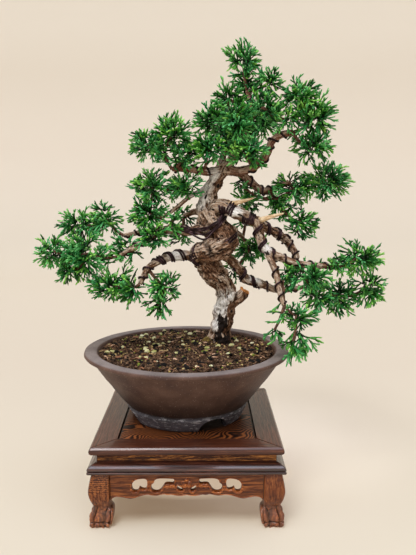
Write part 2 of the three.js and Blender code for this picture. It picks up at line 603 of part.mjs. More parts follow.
// Arms spread evenly from the middle of a tuft. Each carries whorls of three shoots.
function tuftSolids(name, [x, y, z, halfWidth, halfHeight], random) {
  const centre = new THREE.Vector3(x, y, z);
  const count = Math.round(halfWidth / ARM.per);
  const firstTurn = random() * 2 * Math.PI;
  const solids = [];
  for (let i = 0; i < count; i++) {
    const height = 1 - (2 * i + 1) / count;
    const flat = Math.sqrt(1 - height * height);
    const turn = firstTurn + i * GOLDEN_ANGLE;
    const reach = new THREE.Vector3(
      Math.cos(turn) * flat * halfWidth,
      Math.sin(turn) * flat * halfWidth * 0.9,
      height * halfHeight,
    ).multiplyScalar(0.88 + 0.2 * random());
    const tip = centre.clone().add(reach);
    if (!isClear([name], centre, tip, ARM.root)) continue;
    const arm = `${name} arm ${x} ${z} ${i}`;
    taken.push({ a: centre, b: tip, radius: ARM.root, owner: arm });
    const steps = ARM.whorls + 2;
    const stations = Array.from({ length: steps }, (_, k) => {
      const at = centre.clone().addScaledVector(reach, k / steps);
      return [...at.toArray(), THREE.MathUtils.lerp(ARM.root, ARM.last, k / steps)];
    });
    const shootAt = (span, face, middle, outward, along) => {
      if (span === 0) return null;
      const lean = along.clone()
        .multiplyScalar(Math.cos(SHOOT.slant))
        .addScaledVector(outward, Math.sin(SHOOT.slant));
      const end = middle.clone().addScaledVector(lean, SHOOT.length * (0.8 + 0.35 * random()));
      const start = middle.clone().addScaledVector(lean, 1.5);
      if (!isClear([arm], start, end, SHOOT.radius)) return null;
      taken.push({ a: start, b: end, radius: SHOOT.radius, owner: arm });
      return end;
    };
    solids.push(armSolid(pathAlong(stations), tip, shootAt));
  }
  return solids;
}

const padNames = Object.keys(pads);
const padTwigs = Object.fromEntries(padNames.map((name) => [name, twigsOf(name, pads[name])]));
const padMeshes = padNames.map((name, i) => {
  const random = draws(i + 1);
  const tufts = pads[name].tufts.flatMap((tuft) => tuftSolids(name, tuft, random));
  return meshOf(name, wasm.Manifold.union([...padTwigs[name], ...tufts]).subtract(woodAndRoom), LOOKS.leaf);
});

// ---- The whole ----------------------------------------------------------------------------------
const bonsai = new THREE.Group();
bonsai.add(
  stand,
  meshOf("pot", pot, LOOKS.clay),
  meshOf("drain_net", netSolid(), LOOKS.net),
  meshOf("soil", soil, LOOKS.soil),
  meshOf("trunk_and_branches", wood, LOOKS.bark),
  ...wireMeshes,
  ...padMeshes,
);

export default bonsai;
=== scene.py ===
import math

import bmesh
import bpy
import numpy as np
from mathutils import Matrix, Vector, noise
from mathutils.bvhtree import BVHTree


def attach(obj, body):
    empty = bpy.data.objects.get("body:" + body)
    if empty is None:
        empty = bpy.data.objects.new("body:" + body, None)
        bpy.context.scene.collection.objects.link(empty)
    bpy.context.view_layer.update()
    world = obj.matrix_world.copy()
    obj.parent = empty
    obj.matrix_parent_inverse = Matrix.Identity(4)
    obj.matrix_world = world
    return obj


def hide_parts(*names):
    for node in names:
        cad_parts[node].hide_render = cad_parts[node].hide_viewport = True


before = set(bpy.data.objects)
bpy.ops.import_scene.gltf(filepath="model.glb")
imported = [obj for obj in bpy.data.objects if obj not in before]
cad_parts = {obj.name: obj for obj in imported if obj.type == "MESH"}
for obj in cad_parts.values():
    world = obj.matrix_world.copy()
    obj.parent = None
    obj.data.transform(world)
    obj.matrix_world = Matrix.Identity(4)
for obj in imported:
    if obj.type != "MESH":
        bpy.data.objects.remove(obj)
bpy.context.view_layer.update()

# ---- Top rails ----------------------------------------------------------------------------------
# Four mitred rails of dark rosewood frame the top of the stand. They are planed, stained and waxed,
# so fine dark streaks follow each rail, and the rounded outer edge has a soft shine.
SIDES = ("front", "right", "back", "left")
MM = 0.001  # millimetres to metres


def linear(colour):
    """An sRGB colour in hex, as linear light."""
    parts = [int(colour[i:i + 2], 16) / 255 for i in (1, 3, 5)]
    return [p / 12.92 if p <= 0.04045 else ((p + 0.055) / 1.055) ** 2.4 for p in parts] + [1]


def add(tree, kind, inputs, stops=(), **settings):
    """Adds a shader node. An input is found by its name or its place among those in use, and is given
    a number, a colour in hex, or the node or output that feeds it. Stops are a ramp's colours."""
    node = tree.nodes.new("ShaderNode" + kind)
    for setting, value in settings.items():
        setattr(node, setting, value)
    for k, (place, colour) in enumerate(stops):
        elements = node.color_ramp.elements
        element = elements[k] if k < 2 else elements.new(place)
        element.position = place
        element.color = linear(colour)
    for key, value in inputs.items():
        in_use = [s for s in node.inputs if s.enabled]
        socket = in_use[key] if isinstance(key, int) else next(s for s in in_use if s.name == key)
        if isinstance(value, bpy.types.Node):
            value = next(s for s in value.outputs if s.enabled)
        if isinstance(value, bpy.types.NodeSocket):
            tree.links.new(value, socket)
        else:
            socket.default_value = linear(value) if isinstance(value, str) else value
    return node


def material_of(name, surface, *details):
    """A material whose nodes are made by surface, which gives back the shader."""
    material = bpy.data.materials.new(name)
    material.use_nodes = True
    tree = material.node_tree
    tree.nodes.clear()
    add(tree, "OutputMaterial", {"Surface": surface(tree, *details)})
    return material


def once_in(millimetres):
    """The scale of a pattern that comes once in so many millimetres."""
    return 1000 / millimetres


def waxed_rosewood(tree, streak, dark, middle, light, shine):
    """Planed rosewood, stained and waxed. Dark and light streaks of the given size in millimetres show,
    with finer pores in them. Real pores are 0.2 mm wide and are drawn coarser, or they wouldn't show.
    Shine is how much wax lies on it."""
    place = add(tree, "TexCoord", {}).outputs["Object"]
    wide = add(tree, "Mapping", {"Vector": place, "Scale": [once_in(size) for size in streak]})
    streaks = add(tree, "TexNoise", {"Vector": wide, "Scale": 1, "Detail": 5, "Roughness": 0.65,
                                     "Distortion": 0.5})
    fine = add(tree, "Mapping", {"Vector": place, "Scale": [once_in(size * 0.35) for size in streak]})
    pores = add(tree, "TexNoise", {"Vector": fine, "Scale": 1, "Detail": 4, "Roughness": 0.75})
    both = add(tree, "Mix", {"Factor": 0.42, "A": streaks, "B": pores}, data_type="FLOAT")
    colour = add(tree, "ValToRGB", {"Fac": both}, stops=((0.4, dark), (0.5, middle), (0.6, light)))
    relief = add(tree, "Bump", {"Strength": 0.5, "Distance": 0.3 * MM, "Height": both})
    rough = add(tree, "MapRange", {"Value": pores, "From Min": 0.3, "From Max": 0.7, "To Min": 0.55,
                                   "To Max": 0.38})
    return add(tree, "BsdfPrincipled", {
        "Base Color": colour, "Roughness": rough, "IOR": 1.5, "Specular IOR Level": 0.2,
        "Coat Weight": shine, "Coat Roughness": 0.1, "Coat IOR": 1.6, "Normal": relief})


def streak_along(side, length, width):
    """The size of a streak in a board on one side of the stand, with the grain along the board."""
    return (length, width, width) if side in ("front", "back") else (width, length, width)


def eased(node, width):
    """Rubs the sharp edges of a CAD node down to a small round, in millimetres."""
    weld = node.modifiers.new("one skin", "WELD")
    weld.merge_threshold = 0.01 * MM
    edge = node.modifiers.new("eased edges", "BEVEL")
    edge.width = width * MM
    edge.segments = 2
    edge.limit_method = "ANGLE"
    edge.angle_limit = math.radians(32)


def dress(name, material, ease):
    """Gives a CAD node its finish."""
    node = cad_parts[name]
    node.material_slots[0].material = material
    eased(node, ease)


for side in SIDES:
    rail_wood = material_of(f"waxed rosewood of the {side} rail", waxed_rosewood,
                            streak_along(side, 50, 1.6), "#2C1208", "#4A2213", "#643823", 0.5)
    dress(f"top_rail_{side}", rail_wood, 0.6)

# ---- Top panel ----------------------------------------------------------------------------------
# A loose board lies in the frame of rails. It is sawn so that the grain shows as bold zigzag bands of orange
# brown and nearly black, about 4 mm apart. Round and under the pot's foot, and along its two side joints, it
# is painted nearly black as painted shade.
STAND_AT = np.array([-26, -7])
POT_AT = np.array([-28, 0])
PANEL_HALF = 71.5


def bands_once_in(millimetres):
    """The scale of a wave pattern whose bands come once in so many millimetres. Such a pattern has
    about 3.2 bands where a noise has one."""
    return once_in(millimetres * 3.2)


def off_pot_axis(tree, place):
    """How far each point is from the upright line through the pot's middle."""
    from_pot = add(tree, "Mapping", {"Vector": place, "Location": (*-POT_AT * MM, 0), "Scale": (1, 1, 0)})
    return add(tree, "VectorMath", {0: from_pot}, operation="LENGTH").outputs["Value"]


def figured_rosewood(tree, band, dark, middle, light):
    """Rosewood with flame-like bands that lean across the board and come once in band millimetres. The board
    is painted nearly black round and under the pot's foot as painted shade, and along the joint at its two
    sides as painted shade of the gap."""
    place = add(tree, "TexCoord", {}).outputs["Object"]
    bend = add(tree, "TexNoise", {"Vector": place, "Scale": once_in(42), "Detail": 1, "Roughness": 0.4})
    pushed = add(tree, "VectorMath", {0: bend.outputs["Color"], "Scale": 0.07}, operation="SCALE")
    swayed = add(tree, "VectorMath", {0: place, 1: pushed}, operation="ADD")
    leaning = add(tree, "Mapping", {"Vector": swayed, "Rotation": (0, 0, 0.95)})
    bands = add(tree, "TexWave", {"Vector": leaning, "Scale": bands_once_in(band), "Distortion": 2.2,
                                  "Detail": 3, "Detail Scale": 2, "Detail Roughness": 0.6},
                bands_direction="X")
    grit = add(tree, "Mapping", {"Vector": leaning, "Scale": (once_in(0.8), once_in(6), once_in(0.8))})
    pores = add(tree, "TexNoise", {"Vector": grit, "Scale": 1, "Detail": 4, "Roughness": 0.75})
    both = add(tree, "Mix", {"Factor": 0.5, "A": bands.outputs["Fac"], "B": pores}, data_type="FLOAT")
    colour = add(tree, "ValToRGB", {"Fac": both}, stops=((0.28, dark), (0.46, middle), (0.72, light)))
    # Painted shade: the board is darkened to a fifth round and under the pot's foot.
    painted_shade_round_foot = add(tree, "MapRange", {"Value": off_pot_axis(tree, place), "From Min": 57 * MM,
                                  "From Max": 66 * MM, "To Min": 0.2})
    with_painted_foot_shade = add(tree, "Mix", {"Factor": 1.0, "A": colour, "B": painted_shade_round_foot}, data_type="RGBA",
                 blend_type="MULTIPLY")
    # Painted shade: a thin strip along the board's two side edges is painted nearly black, as the shadow in
    # the gap.
    sideways = add(tree, "SeparateXYZ", {"Vector": place}).outputs["X"]
    from_middle = add(tree, "Math", {0: sideways, 1: -STAND_AT[0] * MM}, operation="ADD")
    apart = add(tree, "Math", {0: from_middle}, operation="ABSOLUTE")
    painted_shade_share = add(tree, "MapRange", {"Value": apart, "From Min": (PANEL_HALF - 0.3) * MM,
                                  "From Max": (PANEL_HALF + 0.3) * MM})
    with_painted_gap_shade = add(tree, "Mix", {"Factor": painted_shade_share, "A": with_painted_foot_shade, "B": "#0B0503"}, data_type="RGBA")
    relief = add(tree, "Bump", {"Strength": 0.3, "Distance": 0.3 * MM, "Height": both})
    return add(tree, "BsdfPrincipled", {
        "Base Color": with_painted_gap_shade, "Roughness": 0.5, "IOR": 1.5, "Specular IOR Level": 0.25,
        "Coat Weight": 0.1, "Coat Roughness": 0.25, "Normal": relief})


panel_wood = material_of("figured rosewood of the top panel", figured_rosewood, 4.4,
                         "#140602", "#47210D", "#98572B")
dress("top_panel", panel_wood, 0.5)

# ---- Waist --------------------------------------------------------------------------------------
# Four upright boards close the neck under the top. Light brown flecks run along them, as sawn across
# the rays of the wood, over a dark ground.
for side in SIDES:
    waist_wood = material_of(f"flecked rosewood of the {side} waist board", waxed_rosewood,
                             streak_along(side, 16, 1.5), "#160602", "#55280F", "#C98440", 0.1)
    dress(f"waist_{side}", waist_wood, 0.3)

# ---- Mouldings ----------------------------------------------------------------------------------
# A mitred moulding with a hollow and a round nose runs under the waist. It is the most handled edge,
# so the wax has built up to a cool shine over a purplish brown.
for side in SIDES:
    moulding_wood = material_of(f"waxed rosewood of the {side} moulding", waxed_rosewood,
                                streak_along(side, 50, 1.6), "#140705", "#351710", "#633828", 1.0)
    dress(f"moulding_{side}", moulding_wood, 0.4)

# ---- Aprons -------------------------------------------------------------------------------------
# A pierced board hangs between each pair of legs. It is fretted, then carved with a bead round each
# opening, curled leaves beside them and a small flower in the middle, and waxed.
APRON = {"face": 97, "thick": 6, "top": 58.7, "edge_round": 0.7, "flower": 47.6}


def smooth_line(points, per_span, closed=False):
    """Points along a smooth curve that passes through the given ones."""
    p = np.array(points, float)
    p = np.vstack([p[-1], p, p[:2]]) if closed else np.vstack([2 * p[0] - p[1], p, 2 * p[-1] - p[-2]])
    t = np.linspace(0, 1, per_span, endpoint=False)[:, None]
    spans = []
    for a, b, c, d in zip(p, p[1:], p[2:], p[3:]):
        ab, bc, cd = [max(np.linalg.norm(v), 1e-6) ** 0.5 for v in (b - a, c - b, d - c)]
        start = ((b - a) / ab - (c - a) / (ab + bc) + (c - b) / bc) * bc
        end = ((c - b) / bc - (d - b) / (bc + cd) + (d - c) / cd) * bc
        spans.append(b + start * t + (3 * (c - b) - 2 * start - end) * t ** 2
                     + (2 * (b - c) + start + end) * t ** 3)
    if not closed:
        spans.append(p[-2][None])
    return np.vstack(spans)


def travelling_axes(line):
    """At each point of a line, its direction and two axes across it that don't twist."""
    along = np.gradient(line, axis=0)
    along /= np.linalg.norm(along, axis=1)[:, None]
    across = np.empty_like(along)
    last = np.array([0.3, 1, 0.2])
    for k, direction in enumerate(along):
        last = last - direction * last.dot(direction)
        last = last / np.linalg.norm(last)
        across[k] = last
    return along, across, np.cross(along, across)


def skin(rows, around, closed=False):
    """Faces over rows of points, with so many points around in each. The first and last rows get flat
    ends, or are joined to each other where the skin is closed."""
    faces = [[k * around + i, k * around + (i + 1) % around,
              (k + 1) % rows * around + (i + 1) % around, (k + 1) % rows * around + i]
             for k in range(rows if closed else rows - 1) for i in range(around)]
    if not closed:
        faces.append(list(range(around))[::-1])
        faces.append([(rows - 1) * around + i for i in range(around)])
    return faces


def tube(line, radii, sides):
    """Vertices and faces of a closed round bar along a line, in the line's own units."""
    _, across, upright = travelling_axes(line)
    turn = np.linspace(0, 2 * math.pi, sides, endpoint=False)
    radii = np.broadcast_to(radii, len(line))[:, None, None]
    ring = across[:, None] * np.cos(turn)[None, :, None] + upright[:, None] * np.sin(turn)[None, :, None]
    vertices = (line[:, None] + ring * radii).reshape(-1, 3)
    return vertices, skin(len(line), sides)


def joined(parts):
    """Several (vertices, faces) as one."""
    vertices, faces, count = [], [], 0
    for some_vertices, some_faces in parts:
        vertices.append(np.asarray(some_vertices, float))
        faces += [[i + count for i in face] for face in some_faces]
        count += len(some_vertices)
    return np.vstack(vertices), faces


def piece_of(name, vertices, faces, material, smooth_under=180):
    """A mesh object from vertices in millimetres. Edges sharper than smooth_under degrees stay sharp."""
    mesh = bpy.data.meshes.new(name)
    mesh.from_pydata((np.asarray(vertices) * MM).tolist(), [], faces)
    mesh.materials.append(material)
    mesh.validate()
    mesh.shade_smooth()
    if smooth_under < 180:
        mesh.set_sharp_from_angle(angle=math.radians(smooth_under))
    piece = bpy.data.objects.new(name, mesh)
    bpy.context.scene.collection.objects.link(piece)
    return piece


def fit(piece, slot, *replaced):
    """Fixes a piece to the object, in place of the CAD nodes it stands for."""
    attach(piece, "root")
    if replaced:
        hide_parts(*replaced)


# The right half of the apron's lower edge and of its openings, as [x, z] in millimetres.
HALF_EDGE = [[0, 35], [2, 34.6], [7, 34], [11.7, 34.4], [16.3, 35.3], [20, 35], [23, 35.7], [26.7, 35.3],
             [31.5, 34.3], [36.5, 34.6], [40, 35.2], [45, 34.6], [50, 33.2], [54, 31.8], [59, 31], [65, 32.2],
             [70, 33], [75.4, 32.4], [79.2, 29]]
LARGE_OPENING = [[12.6, 50], [13.6, 52.4], [17, 52.9], [30, 52.8], [33, 51.2], [34, 48.6], [36.4, 46.4],
                 [36.7, 42.2], [34.4, 39.2], [30.6, 38.5], [27.4, 40], [24.4, 44.2], [22.2, 46.9],
                 [18.6, 47.4], [14.4, 47.3]]
OUTER_OPENING = [[41.2, 51], [43, 52.6], [49, 52.5], [53.4, 51], [56.2, 47.8], [56.8, 43.6], [55.4, 39.8],
                 [52.4, 38.9], [50.2, 40.2], [49, 42.8], [46.6, 41.5], [43, 41.1], [41.3, 44]]
SMALL_OPENING = [[3.8, 41], [5.4, 39.6], [8, 40.6], [10, 43], [9.4, 45.4], [7.4, 44.6], [5.2, 43]]


def flipped(outline):
    """The same outline on the left half."""
    return [[-x, z] for x, z in outline][::-1]


openings = [smooth_line(outline, 6, closed=True)
            for opening in (LARGE_OPENING, OUTER_OPENING, SMALL_OPENING)
            for outline in (opening, flipped(opening))]
lower_edge = smooth_line(flipped(HALF_EDGE)[:-1] + HALF_EDGE, 5)
apron_half = HALF_EDGE[-1][0]
apron_outline = np.vstack([lower_edge, [[apron_half, APRON["top"]], [-apron_half, APRON["top"]]]])


def finished_mesh(piece):
    """The mesh of an object once its curve or modifiers have been worked out."""
    return bpy.data.meshes.new_from_object(piece.evaluated_get(bpy.context.evaluated_depsgraph_get()))


def fretted_board(outlines, thick, edge_round):
    """A board sawn to its first outline, with the other outlines cut out, and its edges rounded over.
    It lies in x and z, and its face looks along -y."""
    curve = bpy.data.curves.new("fret", "CURVE")
    curve.dimensions = "2D"
    curve.fill_mode = "BOTH"
    curve.extrude = thick / 2 - edge_round
    curve.bevel_depth = edge_round
    curve.bevel_resolution = 2
    curve.offset = -edge_round
    for outline in outlines:
        spline = curve.splines.new("POLY")
        spline.points.add(len(outline) - 1)
        spline.points.foreach_set("co", np.array([[x, z, 0, 1] for x, z in outline], float).ravel())
        spline.use_cyclic_u = True
    sawn = bpy.data.objects.new("fret", curve)
    bpy.context.scene.collection.objects.link(sawn)
    mesh = finished_mesh(sawn)
    vertices = np.array([v.co for v in mesh.vertices])
    faces = [list(polygon.vertices) for polygon in mesh.polygons]
    bpy.data.objects.remove(sawn)
    return np.column_stack([vertices[:, 0], -vertices[:, 2], vertices[:, 1]]), faces


def outward(outline, by):
    """A closed outline grown by so many millimetres."""
    ahead = np.roll(outline, -1, axis=0) - np.roll(outline, 1, axis=0)
    normal = np.column_stack([ahead[:, 1], -ahead[:, 0]]) / np.linalg.norm(ahead, axis=1)[:, None]
    x, z = outline.T
    turns_left = np.sum(x * np.roll(z, -1) - np.roll(x, -1) * z) > 0
    return outline + normal * (by if turns_left else -by)


def bead(line, radius, depth=0.2):
    """A carved bead along a line of [x, z] on a board's face. It stands out by its radius less depth."""
    raised = np.column_stack([line[:, 0], np.full(len(line), -APRON["thick"] / 2 + depth), line[:, 1]])
    return tube(raised, radius, 8)


def curl(x, z, size, turns, start, way):
    """A curled leaf: a bead that winds in to its middle."""
    share = np.linspace(0, 1, 26)
    angle = start + way * share * turns * 2 * math.pi
    reach = size * (1 - share * 0.82)
    return np.column_stack([x + np.cos(angle) * reach, z + np.sin(angle) * reach])


def petal(angle, reach, width, thick):
    """A domed petal that grows out from the flower's middle: a top point, then three rings."""
    sides = 12
    turn = np.linspace(0, 2 * math.pi, sides, endpoint=False)
    rings = [[[0, 0, -thick]]]
    for level in (0.4, 0.75, 1.0):
        rings.append(np.column_stack([np.cos(turn) * reach * level, np.sin(turn) * width * level,
                                      np.full(sides, -thick * (1 - level ** 2))]))
    points = np.vstack(rings)
    faces = [[0, 1 + i, 1 + (i + 1) % sides] for i in range(sides)]
    faces += [[1 + corner for corner in face][::-1] for face in skin(3, sides)[:-2]]
    faces.append([1 + 2 * sides + i for i in range(sides)][::-1])
    across = points[:, 0] + reach * 0.9
    x = across * math.cos(angle) - points[:, 1] * math.sin(angle)
    z = across * math.sin(angle) + points[:, 1] * math.cos(angle)
    return np.column_stack([x, points[:, 2] - APRON["thick"] / 2, z + APRON["flower"]]), faces


apron_parts = [fretted_board([apron_outline, *openings], APRON["thick"], APRON["edge_round"])]
for outline in openings:
    # The bead is fine over an opening and twice as thick under it.
    top, bottom = outline[:, 1].max(), outline[:, 1].min()
    low = np.clip(((top + bottom) / 2 - outline[:, 1]) / (top - bottom) * 2, 0, 1)[:, None]
    ring = np.hstack([outward(outline, 0.8 + 0.7 * low), 0.8 + 0.75 * low])
    ring = np.vstack([ring, ring[:2]])
    apron_parts.append(bead(ring[:, :2], ring[:, 2]))
apron_parts.append(bead(lower_edge[4:-4] + [0, 0.7], 0.6))
PETALS = 5
# The curled leaves of the right half: x, z, size, turns and the angle that each starts at.
CURLED_LEAVES = ((38.8, 46, 1.6, 1.2, 1.6), (20.2, 44.3, 2.4, 1.4, 0.4), (15.2, 44.9, 2.2, 1.3, 2.4))
for way in (-1, 1):
    facing = 0 if way > 0 else math.pi
    for x, z, size, turns, start in CURLED_LEAVES:
        line = curl(way * x, z, size, turns, facing + way * start, way)
        apron_parts.append(bead(line, 1.15, 0.1))
for k in range(PETALS):
    apron_parts.append(petal(math.pi / 2 + k * 2 * math.pi / PETALS, 3.4, 2.4, 1.7))
apron_parts.append(petal(0, 1.8, 1.8, 2.4))


def carved_rosewood(tree, streak, wave, dark, middle, light):
    """Carved and waxed rosewood. The hollows are darker, partly with dark wax and partly as painted shade,
    and the raised parts are lighter, partly rubbed and partly as painted highlight. Near the floor it is
    tinted paler, partly dust and partly painted sheen. Where wave is above 0, the grain above the foot is
    crossed by ripples that come once in wave millimetres."""
    place = add(tree, "TexCoord", {}).outputs["Object"]
    height = add(tree, "SeparateXYZ", {"Vector": place}).outputs["Z"]
    wide = add(tree, "Mapping", {"Vector": place, "Scale": [once_in(size) for size in streak]})
    streaks = add(tree, "TexNoise", {"Vector": wide, "Scale": 1, "Detail": 5, "Roughness": 0.65,
                                     "Distortion": 0.7})
    fine = add(tree, "Mapping", {"Vector": place, "Scale": [once_in(size * 0.4) for size in streak]})
    pattern = add(tree, "TexNoise", {"Vector": fine, "Scale": 1, "Detail": 4, "Roughness": 0.75})
    share = 0.42
    if wave:
        pattern = add(tree, "TexWave", {"Vector": place, "Scale": bands_once_in(wave), "Distortion": 7,
                                        "Detail": 2, "Detail Scale": 2.5, "Detail Roughness": 0.6},
                      bands_direction="Z").outputs["Fac"]
        share = add(tree, "MapRange", {"Value": height, "From Min": 34 * MM, "From Max": 44 * MM,
                                       "To Max": 0.32})
    both = add(tree, "Mix", {"Factor": share, "A": streaks, "B": pattern}, data_type="FLOAT")
    colour = add(tree, "ValToRGB", {"Fac": both}, stops=((0.38, dark), (0.5, middle), (0.62, light)))
    # Painted shade and highlight: pointiness darkens the hollows and lightens the raised parts, over real
    # dark wax in the hollows.
    painted_hollow_shade = add(tree, "MapRange", {"Value": add(tree, "NewGeometry", {}).outputs["Pointiness"],
                                    "From Min": 0.45, "From Max": 0.56, "To Min": 0.1, "To Max": 1.8})
    shaded = add(tree, "Mix", {"Factor": 1.0, "A": colour, "B": painted_hollow_shade}, data_type="RGBA",
                 blend_type="MULTIPLY")
    # Partly painted sheen: near the floor the colour is tinted paler and greyer, partly dust, partly the
    # paws' sheen.
    dust = add(tree, "MapRange", {"Value": height, "From Min": 32 * MM, "From Max": 20 * MM, "To Max": 0.25})
    with_dust_and_painted_sheen = add(tree, "Mix", {"Factor": dust, "A": shaded, "B": "#80685C"}, data_type="RGBA")
    relief = add(tree, "Bump", {"Strength": 0.5, "Distance": 0.3 * MM, "Height": both})
    return add(tree, "BsdfPrincipled", {
        "Base Color": with_dust_and_painted_sheen, "Roughness": 0.48, "IOR": 1.5, "Specular IOR Level": 0.2,
        "Coat Weight": 0.4, "Coat Roughness": 0.18, "Normal": relief})


apron_points, apron_faces = joined(apron_parts)
for k, side in enumerate(SIDES):
    turn = k * math.pi / 2
    out = np.array([math.sin(turn), -math.cos(turn)])
    right = np.array([math.cos(turn), math.sin(turn)])
    middle_out = APRON["face"] - APRON["thick"] / 2
    flat = apron_points[:, :1] * right + (middle_out - apron_points[:, 1:2]) * out + STAND_AT
    apron_wood = material_of(f"carved rosewood of the {side} apron", carved_rosewood,
                             streak_along(side, 40, 1.9), 0, "#260D04", "#5C2B10", "#A36130")
    apron = piece_of(f"carved_apron_{side}", np.column_stack([flat, apron_points[:, 2]]), apron_faces,
                     apron_wood, 50)
    fit(apron, "carved_wood", f"apron_{side}")

# ---- Legs ---------------------------------------------------------------------------------------
# Each corner has a bowed leg that ends in a clawed paw. A leg is carved from one block, and the paw
# has four knuckled toes on each outer face, with small claws under a crease.
LEG_SIDES = 104
# Heights, and how far the outer and inner faces are there from the stand's middle.
LEG_PROFILE = [[0, 100.4, 80.6], [3.5, 101.6, 78.4], [8, 101.9, 77.2], [17, 100, 77], [22, 97.7, 79.6],
               [31, 100.7, 79.6], [39, 102.1, 79.6], [49, 100.7, 79.6], [58.7, 98.5, 79.6]]
TOE = {"pitch": 6.5, "groove": 3.6, "crease_at": 6.4, "ankle_at": 17, "reach": 27}


def leg_section(z, outer, inner):
    """One level of a leg: a square with rounded corners, and below the ankle the toes of the paw."""
    turn = np.linspace(0, 2 * math.pi, LEG_SIDES, endpoint=False) + math.pi / 4
    cut_round = 0.3
    unit = np.column_stack([np.sign(np.cos(turn)) * abs(np.cos(turn)) ** cut_round,
                            np.sign(np.sin(turn)) * abs(np.sin(turn)) ** cut_round])
    unit *= 1 / np.abs(unit).max()
    points = (outer + inner) / 2 + unit * (outer - inner) / 2
    steps = np.linalg.norm(np.roll(points, -1, axis=0) - points, axis=1)
    walked = np.concatenate([[0], np.cumsum(steps)[:-1]])
    from_corner = np.minimum(walked, steps.sum() - walked)
    paw = np.clip((25 - z) / 7, 0, 1)
    front = np.clip((TOE["reach"] - from_corner) / 4, 0, 1)
    lobe = np.abs(np.cos(from_corner / TOE["pitch"] * math.pi)) ** 0.75
    knuckle = math.exp(-((z - 11.5) / 3.6) ** 2) * 1.5
    crease = math.exp(-((z - TOE["crease_at"]) / 0.9) ** 2) * 1.7
    crease += math.exp(-((z - TOE["ankle_at"]) / 1.4) ** 2) * 0.6
    claw = math.exp(-((z - 3) / 2.2) ** 2) * 1.3
    depth = (1 - lobe) * TOE["groove"] - (knuckle + claw) * lobe + crease + 0.9
    middle = points.mean(axis=0)
    inwards = (middle - points) / np.linalg.norm(middle - points, axis=1)[:, None]
    return points + inwards * (depth * paw * front)[:, None]


levels = smooth_line(LEG_PROFILE, 9)
leg_points = np.vstack([np.column_stack([leg_section(*level), np.full(LEG_SIDES, level[0])])
                        for level in levels])
leg_faces = skin(len(levels), LEG_SIDES)
LEGS = {"front_left": (-1, -1), "front_right": (1, -1), "back_right": (1, 1), "back_left": (-1, 1)}
for place, (to_x, to_y) in LEGS.items():
    # Only the front left leg shows ripples in its grain.
    rippled = 2.1 if place == "front_left" else 0
    leg_wood = material_of(f"carved rosewood of the {place} leg", carved_rosewood, (1.8, 1.8, 34), rippled,
                           "#3A180A", "#6E3516", "#9E5E2E")
    spots = leg_points * [to_x, to_y, 1] + [*STAND_AT, 0]
    faces = leg_faces if to_x * to_y > 0 else [face[::-1] for face in leg_faces]
    leg = piece_of(f"carved_leg_{place}", spots, faces, leg_wood, 50)
    fit(leg, "carved_wood", f"leg_{place}")

# ---- Pot ----------------------------------------------------------------------------------------
# A round conical pot of unglazed iron-rich stoneware, thrown on a wheel and fired dark. The rim is a
# flat band, and three arches are cut in the foot ring. It is matt, with faint rings from the throwing.
POT_BASE = 86.9
POT_RIM = 165.9
POT_RADIUS = 118
# [radius, height] in millimetres, from the drain hole out, up the wall and in again.
POT_PROFILE = [[9, 100.9], [54, 100.9], [54, 87], [62.6, 86.9], [64.2, 88.4], [68.4, 97.4], [70.4, 100.9],
               [69.8, 102.6], [68.4, 103.6], [71, 105.6], [79, 114.8], [88.8, 127.9], [101, 143.9],
               [109.2, 157.4], [111.4, 160], [116.4, 160.9], [117.8, 161.8], [118, 163], [117.8, 164.6],
               [116.6, 165.7], [113, 165.9], [105, 165.9], [103, 165], [101.4, 161], [99.6, 156.9],
               [66, 106.9], [60, 105.6], [9, 106.9]]
ARCH = {"half_width": 17, "height": 14.8, "angles": (-62, 58, -160)}


def corners_cut(outline, times):
    """A closed outline with its corners cut off again and again, until they are round."""
    outline = np.array(outline, float)
    for _ in range(times):
        ahead = np.roll(outline, -1, axis=0)
        near_ends = [outline * 0.75 + ahead * 0.25, outline * 0.25 + ahead * 0.75]
        outline = np.stack(near_ends, axis=1).reshape(-1, 2)
    return outline


def turned(outline, segments):
    """A closed outline of [radius, height] turned round the upright axis."""
    turn = np.linspace(0, 2 * math.pi, segments, endpoint=False)
    radius, height = outline.T
    vertices = np.stack([np.outer(radius, np.cos(turn)), np.outer(radius, np.sin(turn)),
                         np.repeat(height[:, None], segments, axis=1)], axis=2).reshape(-1, 3)
    return vertices, skin(len(outline), segments, closed=True)


